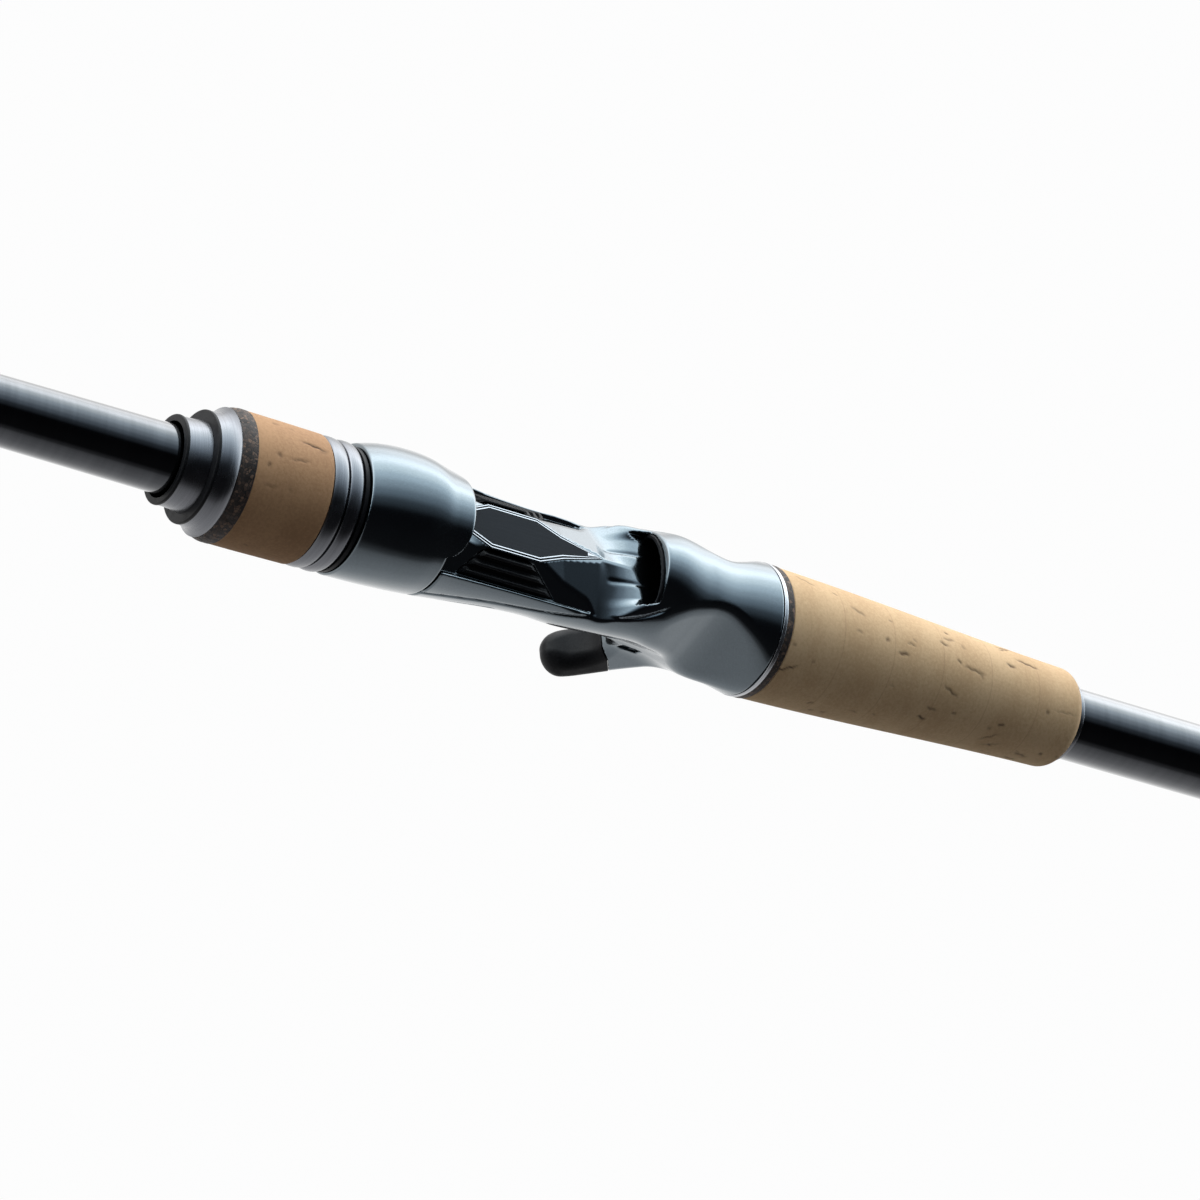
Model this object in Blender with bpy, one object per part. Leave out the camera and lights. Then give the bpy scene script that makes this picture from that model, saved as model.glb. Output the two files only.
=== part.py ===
"""Trigger-grip casting rod: one-piece blank, reel seat with a screw-driven front hood, cork grips and line guides.

The rod lies along X, tip towards -X, with its reel deck and guides facing +Z. The origin is on the rod's axis, in
the plane where the locking nut meets the front hood. Driving dimensions are in millimetres.
"""

import math

import bmesh
import bpy
import numpy as np

MM = 0.001

# ---- fits ----
GLUE = 0.3  # glue line, and the gap between faces that touch
RUN = 0.3  # running clearance of the nut on the barrel
HOOD_RUN = 0.3  # clearance of the hood on the barrel
SPIN = 0.6  # clearance of the turning front stack round the blank

# ---- blank and rear pipe ----
TIP_X = -1450.0  # end of the blank at the tip
BUTT_X = 372.0  # back face of the butt cap
BLANK_R = 6.9  # blank inside the handle
BLANK_WALL = 1.1
TIP_R = 0.95
TIP_WALL = 0.45
TAPER_START = -32.0  # the blank is straight behind this
TAPER_POWER = 2.1  # above 1: the taper slows down towards the tip
PIPE_WALL = 0.75  # carbon pipe over the rear of the blank

# ---- locking nut and fore grip, counted forward from the origin ----
BARREL_WALL = 2.3
INSERT_WALL = 1.6
FORE_CORK_WALL = 1.45
RING_WALL = 1.25
LOCK_RING = 7.0
FORE_CORK = 16.4
FORE_BURL = 3.2
CHECK_B = 4.4
CHECK_A = 5.4
CHECK_A_WALL = 1.2
CHECK_B_WALL = 3.6
WASHER = 0.5
BARREL_SHORT = 0.7  # the barrel ends this far short of the front check

# ---- front hood ----
HOOD_SIDE = 20.0  # rear edge of the hood at its sides
HOOD_VISOR = 4.2  # how far its arch reaches on over the deck
HOOD_ROOF = 1.9  # thickness of the arch over the pocket
POCKET_DEPTH = 15.0
POCKET_SIDE = 4.2  # from the nut's radius in to the side of a hood's pocket
KEY_WIDTH = 2.0
KEY_HEIGHT = 0.9

# ---- reel seat ----
DECK_WALL = 1.1  # seat wall between bore and deck
DECK_END = 57.0  # where the flat deck starts to rise into the fixed hood
LIP_X = 68.0  # front lip of the fixed hood
LIP_RISE = 3.6
SEAT_SKIRT = 29.2  # from that lip to the rear end of the seat
WAIST_R = 8.8  # how far the flanks draw in behind the fixed hood
BARREL_FLAT = 20.0  # the deck runs on over the barrel, up to this far behind its front
PLATE_START = 25.6
PLATE_HALF = 4.1
PLATE_THICK = 0.7
FRAME_WIDTH = 0.6
PLATFORM_HALF = 5.6  # half the width of the deck's raised middle
FLANK_ANGLE = 45.0  # direction that the side recesses face, from +Z
FLANK_REACH = 4.2  # how far down the flank a side recess goes
FLANK_WALL = 1.1  # seat wall under a side recess
FLANK_END = 46.2
FLANK_SLANT = 1.7  # slant of a recess's rear end, along the rod for each step down
INSERT_BASE = 0.8
RIB_COUNT = 3
RIB_HEIGHT = 0.8
RIB_WIDTH = 0.9
RIB_FIRST = -2.4  # where the first groove starts across the flank
LINER_THICK = 0.7
TRIGGER_HALF = 4.7
TRIGGER_ROUND = 2.0
TONGUE_HALF = 1.2
PAD_CORNER = (4.6, -14.6)  # where the line between pad and trigger starts: behind the lip, and height
PAD_HEEL = (10.5, -22.6)  # where that line leaves the trigger's heel
PAD_SHELL = 1.7  # the pad's thickness over the tongue

# ---- rear grip and butt ----
END_RING = 0.6
REAR_CHECK = 1.3
DISC = 12.9
REAR_DISCS = 6
TAIL_RING = 0.9
BUTT_RING = 1.2
BUTT_BURL = 3.0
BUTT_DISCS = 3
BUTT_GRIP_WALL = 4.2
CAP_END = 20.0  # solid end of the cap behind the pipe

# ---- guides ----
GUIDE_COUNT = 7
FIRST_GAP = 98.0  # tip-top to the first guide
GAP_GROWTH = 1.12
GUIDE_R_TIP = 2.6  # inner radius of the smallest ring
GUIDE_R_BUTT = 5.6
GUIDE_RISE_TIP = 6.5  # ring centre above the blank's surface
GUIDE_RISE_BUTT = 13.0
RING_THICK = 1.0
HOLDER_THICK = 0.9
FOOT_THICK = 0.8
FOOT_WIDTH = 2.0
WRAP_THICK = 0.5
RING_HALF = 0.9  # half the width of a hard ring along the rod
HOLDER_HALF = 0.7
SOCKET = 9.0  # length of the tip-top's socket over the blank
SOCKET_WALL = 0.55
PLUG = 0.9  # closed end of that socket

SIDES = 28
FINE = 40

BORE_R = BLANK_R + GLUE
BARREL_R = BORE_R + BARREL_WALL
INSERT_IN = BARREL_R + RUN
INSERT_OUT = INSERT_IN + INSERT_WALL
CORK_IN = INSERT_OUT + GLUE
NUT_R = CORK_IN + RING_WALL
FORE_R = CORK_IN + FORE_CORK_WALL
SPIN_R = BLANK_R + SPIN
DECK_Z = BORE_R + DECK_WALL
FLANK_FLOOR_R = BORE_R + FLANK_WALL
PIPE_R = BORE_R + PIPE_WALL
DISC_IN = PIPE_R + GLUE
CORK_R = NUT_R + 1.15  # the rear grip where it meets the seat
HOOD_START = WASHER + 2 * GLUE
BODY_START = HOOD_SIDE + GLUE
SEAT_END = LIP_X + SEAT_SKIRT
VISOR_END = HOOD_SIDE + HOOD_VISOR

CHECK_B_BACK = -(LOCK_RING + FORE_CORK + FORE_BURL + GLUE)
CHECK_B_FRONT = CHECK_B_BACK - CHECK_B + GLUE
CHECK_A_FRONT = CHECK_B_FRONT - CHECK_A
BARREL_FRONT = CHECK_B_BACK + BARREL_SHORT


def clear_scene():
    """Removes whatever the scene holds."""
    for thing in list(bpy.data.objects):
        bpy.data.objects.remove(thing, do_unlink=True)


def finish(name, colour, roughness, metallic=0.0):
    """A plain material for one finish."""
    made = bpy.data.materials.new(name)
    made.use_nodes = True
    shader = made.node_tree.nodes["Principled BSDF"]
    shader.inputs["Base Color"].default_value = (*colour, 1.0)
    shader.inputs["Roughness"].default_value = roughness
    shader.inputs["Metallic"].default_value = metallic
    return made


def add(name, bm, material=None, parent=None):
    """Turns a bmesh into an object with outward faces and smooth round sides."""
    bmesh.ops.recalc_face_normals(bm, faces=bm.faces)
    mesh = bpy.data.meshes.new(name)
    bm.to_mesh(mesh)
    bm.free()
    mesh.shade_smooth()
    mesh.set_sharp_from_angle(angle=math.radians(35))
    made = bpy.data.objects.new(name, mesh)
    bpy.context.scene.collection.objects.link(made)
    if material:
        mesh.materials.append(material)
    made.parent = parent
    return made


def lathe(name, profile, material=None, parent=None, sides=SIDES):
    """Turns a closed profile of (x, radius) points, in millimetres, about the rod's axis."""
    bm = bmesh.new()
    points = [bm.verts.new((x * MM, 0.0, r * MM)) for x, r in profile]
    edges = [bm.edges.new((a, b)) for a, b in zip(points, points[1:] + points[:1])]
    bmesh.ops.spin(
        bm, geom=points + edges, cent=(0, 0, 0), axis=(1, 0, 0),
        angle=math.tau, steps=sides, use_merge=True,
    )
    bmesh.ops.remove_doubles(bm, verts=bm.verts, dist=1e-7)
    return add(name, bm, material, parent)


def tube(name, front, back, inner, outer, material=None, parent=None, sides=SIDES):
    """A plain sleeve on the rod's axis."""
    profile = [(front, inner), (back, inner), (back, outer), (front, outer)]
    return lathe(name, profile, material, parent, sides)


def rod(name, front, back, radius, sides=FINE):
    """A solid round bar on the rod's axis."""
    ring = [(radius * math.sin(a), radius * math.cos(a)) for a in np.linspace(0, math.tau, sides, endpoint=False)]
    return loft(name, [[(x, y, z) for y, z in ring] for x in (front, back)])


def loft(name, rings, material=None, parent=None):
    """Skins a row of rings, each a closed list of (x, y, z) points in millimetres, and caps both ends."""
    bm = bmesh.new()
    loops = [[bm.verts.new([c * MM for c in point]) for point in ring] for ring in rings]
    for a, b in zip(loops, loops[1:]):
        for k in range(len(a)):
            bm.faces.new((a[k], a[k - 1], b[k - 1], b[k]))
    bm.faces.new(loops[0])
    bm.faces.new(loops[-1])
    return add(name, bm, material, parent)


def slab(name, outline, half_width, material=None, parent=None, round_edge=0.0):
    """An outline of (x, z) points, cut from a slab centred on the rod's middle plane, its rims rounded."""
    steps = [(half_width, 0.0)]
    if round_edge:
        turns = np.linspace(0, math.pi / 2, 4)
        steps = [(half_width - round_edge * (1 - math.sin(t)), round_edge * (1 - math.cos(t))) for t in turns][::-1]
    ways = [(-y, inset) for y, inset in steps] + [(y, inset) for y, inset in reversed(steps)]
    rings = [[(x, y, z) for x, z in inset_outline(outline, inset)] for y, inset in ways]
    return loft(name, rings, material, parent)


def inset_outline(outline, distance):
    """Moves each corner of a convex-ish outline inwards along the mean of its two edges' normals."""
    points = np.array(outline, float)
    if distance == 0.0:
        return [tuple(p) for p in points]
    ahead = np.roll(points, -1, 0) - points
    behind = points - np.roll(points, 1, 0)
    normals = []
    for edges in (ahead, behind):
        turned = np.stack([-edges[:, 1], edges[:, 0]], 1)
        normals.append(turned / np.linalg.norm(turned, axis=1, keepdims=True))
    mean = normals[0] + normals[1]
    mean /= np.linalg.norm(mean, axis=1, keepdims=True)
    area = np.sum(points[:, 0] * np.roll(points[:, 1], -1) - np.roll(points[:, 0], -1) * points[:, 1])
    return [tuple(p) for p in points + mean * distance * math.copysign(1.0, area)]


def box(name, low, high):
    """A box between two corners, in millimetres."""
    xs, ys, zs = zip(low, high)
    rings = [[(x, ys[0], zs[0]), (x, ys[1], zs[0]), (x, ys[1], zs[1]), (x, ys[0], zs[1])] for x in xs]
    return loft(name, rings)


def combine(target, operation, *tools):
    """Adds a Boolean for each tool, and hides the tools."""
    for tool in tools:
        step = target.modifiers.new(tool.name, "BOOLEAN")
        step.operation = operation
        step.object = tool
        tool.parent = target.parent
        tool.hide_render = True
        tool.display_type = "WIRE"
    return target


def curve_through(x, stations):
    """A smooth value at x through (x, value) stations, level at neither end."""
    xs, ys = np.array(stations, float).T
    slopes = np.gradient(ys, xs)
    k = int(np.clip(np.searchsorted(xs, x) - 1, 0, len(xs) - 2))
    step = xs[k + 1] - xs[k]
    t = (min(max(x, xs[0]), xs[-1]) - xs[k]) / step
    hermite = (2 * t**3 - 3 * t**2 + 1, t**3 - 2 * t**2 + t, -2 * t**3 + 3 * t**2, t**3 - t**2)
    return float(np.dot(hermite, (ys[k], slopes[k] * step, ys[k + 1], slopes[k + 1] * step)))


def ease(value, low, high):
    """0 below low, 1 above high, and a smooth step between."""
    t = min(max((value - low) / (high - low), 0.0), 1.0)
    return t * t * (3 - 2 * t)


# How far the seat's outer skin stands beyond the nut's radius, along X: at the top, on the shoulders, underneath.
TOP = (
    (0, 0.0), (5, 1.6), (11, 2.5), (17, 2.4), (HOOD_SIDE, 1.7), (VISOR_END, 0.9), (40, 0.5),
    (DECK_END, 1.0), (LIP_X - 3, 2.1), (LIP_X + 4, 2.8), (LIP_X + 12, 1.7), (LIP_X + 20, 0.7), (SEAT_END, 1.15),
)
SHOULDER = (
    (0, 0.0), (5, 1.4), (10, 2.0), (16, 1.8), (HOOD_SIDE, 0.9), (VISOR_END, 0.1), (30, -0.6), (42, -1.1),
    (DECK_END - 4, -0.8), (DECK_END + 5, 0.0), (LIP_X + 1, 0.7), (LIP_X + 6, 1.8), (LIP_X + 13, 1.3),
    (LIP_X + 20, 0.6), (SEAT_END, 1.15),
)
UNDER = (
    (0, 0.0), (8, -0.1), (HOOD_SIDE, -0.8), (30, -1.8), (38, -2.6), (46, -3.0), (DECK_END - 4, -2.8),
    (DECK_END + 5, -3.3), (LIP_X + 3, -4.0), (LIP_X + 10, -3.0), (LIP_X + 17, -0.3), (SEAT_END - 5, 0.3),
    (SEAT_END, 1.15),
)
SHOULDER_AT, UNDER_AT = 50.0, 125.0  # degrees from +Z
WAIST_TOP, WAIST_SIDE, WAIST_LOW, WAIST_FOOT = 58.0, 92.0, 115.0, 160.0


def waist(x, angle):
    """How much the flanks draw in behind the fixed hood, from 0 to 1."""
    along = ease(x, LIP_X - 4, LIP_X + 13) * (1 - ease(x, LIP_X + 16, SEAT_END - 1))
    return along * ease(angle, WAIST_TOP, WAIST_SIDE) * (1 - ease(angle, WAIST_LOW, WAIST_FOOT))


def skin(x, angle):
    """Outer radius of the seat and hood at x, at an angle in degrees from +Z."""
    angle = abs(angle)
    top, shoulder, under = (NUT_R + curve_through(x, line) for line in (TOP, SHOULDER, UNDER))
    upper = top + (shoulder - top) * ease(angle, 0, SHOULDER_AT)
    radius = upper + (under - upper) * ease(angle, SHOULDER_AT, UNDER_AT)
    return radius - max(radius - WAIST_R, 0.0) * waist(x, angle)


def skin_ring(x, count=FINE):
    """The skin's outline at x."""
    ring = []
    for k in range(count):
        angle = 360.0 * k / count - 180.0
        radius = skin(x, angle)
        ring.append((x, radius * math.sin(math.radians(angle)), radius * math.cos(math.radians(angle))))
    return ring


def arch_ring(x, floor, roof, half, count=11):
    """A D-shaped outline: flat at the height floor, a half ellipse up to the roof above."""
    angles = np.linspace(-math.pi / 2, math.pi / 2, count)
    return [(x, half * math.sin(a), floor + (roof - floor) * math.cos(a)) for a in angles]


def quarter(centre, size, start, count=5):
    """Points of a quarter ellipse, turning a quarter turn on from the start angle in degrees."""
    angles = np.radians(np.linspace(start, start + 90, count))
    return [(centre[0] + size[0] * math.cos(a), centre[1] + size[1] * math.sin(a)) for a in angles]


def blank_radius(x):
    """Outer radius of the blank."""
    along = min(max((x - TIP_X) / (TAPER_START - TIP_X), 0.0), 1.0)
    return TIP_R + (BLANK_R - TIP_R) * along**TAPER_POWER


def make_blank(parent, carbon, gloss):
    """The tapered tube that runs from the tip to the butt, and the pipe sleeved over its rear."""
    stops = [TIP_X + (TAPER_START - TIP_X) * t for t in np.linspace(0, 1, 13)] + [BUTT_X - CAP_END - GLUE]
    outer = [(x, blank_radius(x)) for x in stops]
    wall = [(x, TIP_WALL + (BLANK_WALL - TIP_WALL) * (r - TIP_R) / (BLANK_R - TIP_R)) for x, r in outer]
    inner = [(x, r - w) for (x, r), (_, w) in zip(outer, wall)]
    lathe("rod_blank", outer + inner[::-1], carbon, parent, 20)
    front = SEAT_END + END_RING + REAR_CHECK + 3 * GLUE
    tube("grip_pipe", front, BUTT_X - CAP_END - GLUE, BORE_R, PIPE_R, gloss, parent)


def make_nut(parent, mats):
    """Everything that turns with the fore grip: threaded insert, grip, rings and checks."""
    tube("nut_insert", CHECK_B_BACK + GLUE, -GLUE, INSERT_IN, INSERT_OUT, mats["alloy"], parent)
    ridges = []
    half = (LOCK_RING - GLUE) / 2
    for middle in (-GLUE - half * 0.5, -GLUE - half * 1.5):
        for turn in np.linspace(0, math.pi, 5):
            ridges.append((middle + half * 0.5 * math.cos(turn) * 0.96, NUT_R - 0.55 + 0.6 * math.sin(turn)))
    ring = [(-GLUE, CORK_IN)] + ridges + [(-LOCK_RING, CORK_IN)]
    lathe("lock_ring", ring, mats["satin"], parent)
    back = -LOCK_RING - GLUE
    front = -LOCK_RING - FORE_CORK
    profile = [(front, CORK_IN), (back, CORK_IN), (back, FORE_R - 0.2), (front, FORE_R)]
    lathe("fore_grip", profile, mats["cork"], parent)
    back, front = front - GLUE, front - FORE_BURL
    profile = [(front, CORK_IN), (back, CORK_IN), (back, FORE_R), (back - 1.6, FORE_R), (front, FORE_R - 0.7)]
    lathe("fore_burl_ring", profile, mats["burl"], parent)
    wide = SPIN_R + CHECK_B_WALL
    profile = [
        (CHECK_B_FRONT + WASHER, SPIN_R), (CHECK_B_BACK, SPIN_R), (CHECK_B_BACK, FORE_R - 0.8),
        (CHECK_B_BACK - 0.7, FORE_R - 0.8), (CHECK_B_BACK - 1.9, wide + 0.25), (CHECK_B_FRONT + WASHER, wide),
    ]
    lathe("check_ring_large", profile, mats["satin"], parent)
    tube("check_face_large", CHECK_B_FRONT, CHECK_B_FRONT + WASHER - GLUE, SPIN_R, wide - 0.1, mats["black"], parent)
    slim = SPIN_R + CHECK_A_WALL
    back = CHECK_B_FRONT - GLUE
    profile = [
        (CHECK_A_FRONT + WASHER, SPIN_R), (back, SPIN_R), (back, slim + 0.35), (back - 1.2, slim),
        (CHECK_A_FRONT + WASHER, slim),
    ]
    lathe("check_ring_small", profile, mats["satin"], parent)
    tube("check_face_small", CHECK_A_FRONT, CHECK_A_FRONT + WASHER - GLUE, SPIN_R, slim - 0.1, mats["black"], parent)
    tube("thrust_washer", 0, WASHER, BARREL_R + RUN, NUT_R - 0.2, mats["black"], parent)


def make_hood(parent, mats):
    """The sliding hood: a ring round the barrel whose arch holds the reel's front foot."""
    stops = [HOOD_START, 2.6, 5, 8, 12, 16, HOOD_SIDE - 1, VISOR_END]
    hood = loft("front_hood", [skin_ring(x) for x in stops], mats["seat"], parent)
    clear = DECK_Z + GLUE
    far, high = 60.0, 40.0
    edge = quarter((HOOD_SIDE, clear + LIP_RISE), (HOOD_VISOR, LIP_RISE), -90)
    visor = slab("visor_cutter", [(HOOD_SIDE, -high), (far, -high), (far, high), (VISOR_END, high)] + edge[::-1], high)
    bore = rod("hood_bore_cutter", -5, HOOD_SIDE + 5, BARREL_R + HOOD_RUN)
    roof = skin(VISOR_END, 0) - HOOD_ROOF + 0.6
    half = NUT_R - POCKET_SIDE
    back, front = VISOR_END + 1, VISOR_END - POCKET_DEPTH
    depths = ((back, roof, half), (VISOR_END - POCKET_DEPTH / 2, roof, half), (front, roof - 2.0, half - 0.8))
    pocket = loft("hood_pocket_cutter", [arch_ring(x, DECK_Z, top, wide) for x, top, wide in depths])
    combine(hood, "DIFFERENCE", visor, bore, pocket)
    low = -BARREL_R - HOOD_RUN - 1
    key = box("hood_key", (HOOD_START + 1, -KEY_WIDTH / 2, low), (HOOD_SIDE - 1, KEY_WIDTH / 2, -BARREL_R + KEY_HEIGHT))
    combine(hood, "UNION", key)


def trigger_outline():
    """Side view of the trigger, from the seat's underside round the tip and back."""
    heel = [(LIP_X + 24, -7.6), (LIP_X + 24, -11.8), (LIP_X + 19, -14.6), (LIP_X + 15, -17.2)]
    tip = [
        (LIP_X + 10.5, -20.6), (LIP_X + 6.3, -24.2), (LIP_X + 3.4, -26.6), (LIP_X + 1.0, -27.9), (LIP_X - 1.8, -27.9),
        (LIP_X - 3.6, -26.4), (LIP_X - 4.0, -24.2), (LIP_X - 2.6, -22.4), (LIP_X, -20.9),
    ]
    finger = [(LIP_X + 2.5, -18.2), (LIP_X + 3.8, -15.0), (LIP_X + 3.5, -12.0), (LIP_X + 1.3, -9.5)]
    root = [(LIP_X, -7.6)]
    return heel + tip + finger + root


def make_seat(parent, mats):
    """The moulded reel seat: threaded barrel, deck, fixed hood and trigger in one piece."""
    stops = [BODY_START, 24, 28, 33, 38, 43, 48, 53, 57, 61, LIP_X - 3, LIP_X, LIP_X + 3, LIP_X + 6, LIP_X + 9]
    stops += [LIP_X + 12, LIP_X + 15, LIP_X + 18, LIP_X + 22, SEAT_END - 2, SEAT_END]
    seat = loft("reel_seat", [skin_ring(x) for x in stops], mats["seat"], parent)
    outline = trigger_outline()
    trigger = slab("trigger_blade", outline, TRIGGER_HALF, round_edge=TRIGGER_ROUND)
    barrel = rod("barrel", BARREL_FRONT, BODY_START + 3, BARREL_R, SIDES)
    combine(seat, "UNION", barrel, trigger)

    low = -BARREL_R + KEY_HEIGHT
    keyway = box(
        "keyway_cutter", (BARREL_FRONT - 5, -KEY_WIDTH / 2 - GLUE, -30), (HOOD_SIDE, KEY_WIDTH / 2 + GLUE, low + GLUE)
    )
    high = 40.0
    rise = quarter((DECK_END, DECK_Z + LIP_RISE), (LIP_X - DECK_END, LIP_RISE), -90)
    front = BARREL_FRONT + BARREL_FLAT
    deck = slab("deck_cutter", [(front, high), (front, DECK_Z)] + rise + [(LIP_X, high)], high)
    bore = rod("seat_bore_cutter", BARREL_FRONT - 5, SEAT_END + 5, BORE_R)
    pocket = loft("fixed_pocket_cutter", [arch_ring(x, DECK_Z, roof, half) for x, roof, half in fixed_pocket(0.0)])
    plate = loft("plate_pocket_cutter", plate_rings(FRAME_WIDTH + 2 * GLUE, DECK_Z - PLATE_THICK, DECK_Z + 5))
    corners = flank_corners(FLANK_FLOOR_R, 20.0, 0.0)
    flanks = [flank_block(f"flank_cutter_{side}", side, corners, 10.0, FLANK_END, FLANK_SLANT) for side in (-1, 1)]
    split = pad_block("pad_cutter", 0.0, 20.0)
    combine(seat, "DIFFERENCE", keyway, deck, bore, pocket, plate, *flanks, split)
    tongue = slab("pad_tongue", inset_outline(outline, PAD_SHELL), TONGUE_HALF)
    combine(seat, "UNION", tongue)


def fixed_pocket(offset):
    """Stations (x, roof, half width) of the pocket in the fixed hood, shrunk by an offset."""
    roof = skin(LIP_X, 0) - HOOD_ROOF + 0.2 - offset
    half = NUT_R - POCKET_SIDE - offset
    return ((DECK_END - 1, roof, half), (LIP_X + 5, roof, half), (LIP_X + 14 - offset, roof - 2.6, half - 1.6))


def make_liner(parent, mats):
    """The soft lining that grips the reel foot inside the fixed hood."""
    front = LIP_X - 0.6
    floor = DECK_Z + GLUE
    outer = [(max(x, front), roof, half) for x, roof, half in fixed_pocket(GLUE)]
    inner = [(max(x, front - 2), roof, half) for x, roof, half in fixed_pocket(GLUE + LINER_THICK)]
    liner = loft("rear_hood_liner", [arch_ring(x, floor, roof, half) for x, roof, half in outer], mats["black"], parent)
    combine(liner, "DIFFERENCE", loft("liner_cutter", [arch_ring(x, floor - 2, roof, half) for x, roof, half in inner]))


def plate_rings(grow, low, high):
    """The six-sided plate outline, grown all round, between two heights."""
    half = PLATE_HALF + grow
    start, end = PLATE_START - grow, DECK_END - 1.5 + 2.2 * grow
    points = [
        (start, -1.7 - grow / 2), (start + 5, -half), (end - 14, -half), (end - 8.5, -half * 0.45), (end, 0.0),
        (end - 8.5, half * 0.45), (end - 14, half), (start + 5, half), (start, 1.7 + grow / 2),
    ]
    return [[(x, y, z) for x, y in points] for z in (low, high)]


def make_plate(parent, mats):
    """The badge plate and the bright frame round it."""
    low = DECK_Z - PLATE_THICK + GLUE
    top = DECK_Z + 0.3
    loft("badge_plate", plate_rings(0.0, low, top), mats["plate"], parent)
    frame = loft("badge_frame", plate_rings(GLUE + FRAME_WIDTH, low, top), mats["satin"], parent)
    combine(frame, "DIFFERENCE", loft("frame_cutter", plate_rings(GLUE, low - 2, top + 2)))


def flank_axes(side):
    """Directions out of a side recess's floor and down across it, as (y, z) pairs."""
    turn = math.radians(FLANK_ANGLE)
    return (side * math.sin(turn), math.cos(turn)), (side * math.cos(turn), -math.sin(turn))


def flank_block(name, side, corners, start, end, slope=0.0, material=None, parent=None):
    """A bar along a flank from corners given as (height over the axis, distance across), its far end slanted."""
    out, across = flank_axes(side)
    ring = [(out[0] * h + across[0] * w, out[1] * h + across[1] * w) for h, w in corners]
    front = [(start, y, z) for y, z in ring]
    back = [(end + slope * (DECK_Z / 2 - z), y, z) for y, z in ring]
    return loft(name, [front, back], material, parent)


def flank_corners(low, high, gap):
    """Cross-section between two heights: upright against the deck's platform, square at its lower rim."""
    out, across = flank_axes(1)
    beside = PLATFORM_HALF + gap
    inner = [(h, (beside - out[0] * h) / across[0]) for h in (low, high)]
    return [inner[0], inner[1], (high, FLANK_REACH - gap), (low, FLANK_REACH - gap)]


def make_flanks(parent, mats):
    """A ribbed insert in each side recess."""
    low = FLANK_FLOOR_R + GLUE
    high = low + INSERT_BASE + RIB_HEIGHT
    pitch = (FLANK_REACH - GLUE - RIB_FIRST) / RIB_COUNT
    for label, side in (("left", 1), ("right", -1)):
        corners = flank_corners(low, high, GLUE)
        insert = flank_block(
            f"side_insert_{label}", side, corners, BODY_START + GLUE, FLANK_END - 1.5 * GLUE, FLANK_SLANT,
            mats["black"], parent,
        )
        for k in range(RIB_COUNT):
            left = RIB_FIRST + pitch * k
            width = pitch - RIB_WIDTH
            floor, clear = low + INSERT_BASE, high + 5
            groove = [(floor, left), (clear, left), (clear, left + width), (floor, left + width)]
            combine(insert, "DIFFERENCE", flank_block(f"rib_cutter_{label}_{k}", side, groove, 0.0, 70.0))


def pad_block(name, gap, half):
    """The part of space in front of the line where the trigger's pad ends."""
    top, heel = ((LIP_X + x - gap, z - gap) for x, z in (PAD_CORNER, PAD_HEEL))
    deep, ahead = -45.0, LIP_X - 20
    return slab(name, [top, heel, (heel[0], deep), (ahead, deep), (ahead, top[1])], half)


def make_pad(parent, mats):
    """The soft pad over the trigger's tip, with a slot for the tongue."""
    outline = trigger_outline()
    pad = slab("trigger_pad", outline, TRIGGER_HALF, mats["black"], parent, TRIGGER_ROUND)
    combine(pad, "INTERSECT", pad_block("pad_limit", GLUE, 30.0))
    slot = slab("pad_slot_cutter", inset_outline(outline, PAD_SHELL - GLUE), TONGUE_HALF + GLUE)
    combine(pad, "DIFFERENCE", slot)


def rear_radius(along):
    """Radius of the rear grip at a distance behind its front."""
    length = REAR_DISCS * (DISC + GLUE)
    share = along / length
    return CORK_R - 0.05 - 3.15 * ease(share, -0.15, 1.15) - 0.15 * share


def make_rear_grip(parent, mats):
    """Trim rings and glued cork discs behind the seat."""
    x = SEAT_END + GLUE
    tube("seat_end_ring", x, x + END_RING, BORE_R, CORK_R + 0.1, mats["satin"], parent)
    x += END_RING + GLUE
    tube("rear_check_ring", x, x + REAR_CHECK, BORE_R, CORK_R, mats["burl"], parent)
    x += REAR_CHECK + GLUE
    start = x
    for k in range(REAR_DISCS):
        back = x + DISC
        profile = [(x, DISC_IN), (back, DISC_IN), (back, rear_radius(back - start)), (x, rear_radius(x - start))]
        if k == REAR_DISCS - 1:
            edge = rear_radius(back - start)
            round_end = [(back, edge - 2.0), (back - 0.8, edge - 0.7), (back - 2.4, edge)]
            profile = [(x, DISC_IN), (back, DISC_IN)] + round_end + [(x, rear_radius(x - start))]
        lathe(f"rear_cork_disc_{k + 1}", profile, mats["cork"], parent)
        x = back + GLUE
    tube("rear_tail_ring", x, x + TAIL_RING, DISC_IN, DISC_IN + 0.9, mats["satin"], parent)


def make_butt(parent, mats):
    """The short butt grip and the cap that closes the pipe."""
    grip_r = DISC_IN + BUTT_GRIP_WALL
    pipe_end = BUTT_X - CAP_END - GLUE
    hold = 6.0
    profile = [
        (pipe_end - hold, DISC_IN), (pipe_end + GLUE, DISC_IN), (pipe_end + GLUE, 0.0), (BUTT_X, 0.0),
        (BUTT_X, grip_r - 3.5), (BUTT_X - 1.2, grip_r - 1.0), (BUTT_X - 4, grip_r + 0.4), (pipe_end - hold, grip_r),
    ]
    lathe("butt_cap", profile, mats["black"], parent)
    x = pipe_end - hold - GLUE
    tube("butt_burl_ring", x - BUTT_BURL, x, DISC_IN, grip_r, mats["burl"], parent)
    x -= BUTT_BURL + GLUE
    for k in range(BUTT_DISCS):
        front = x - DISC
        thin = grip_r if k < BUTT_DISCS - 1 else grip_r - 2.2
        profile = [(front, DISC_IN), (x, DISC_IN), (x, grip_r), (front, thin)]
        lathe(f"butt_cork_disc_{k + 1}", profile, mats["cork"], parent)
        x = front - GLUE
    tube("butt_trim_ring", x - BUTT_RING, x, DISC_IN, grip_r - 2.5, mats["satin"], parent)


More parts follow.
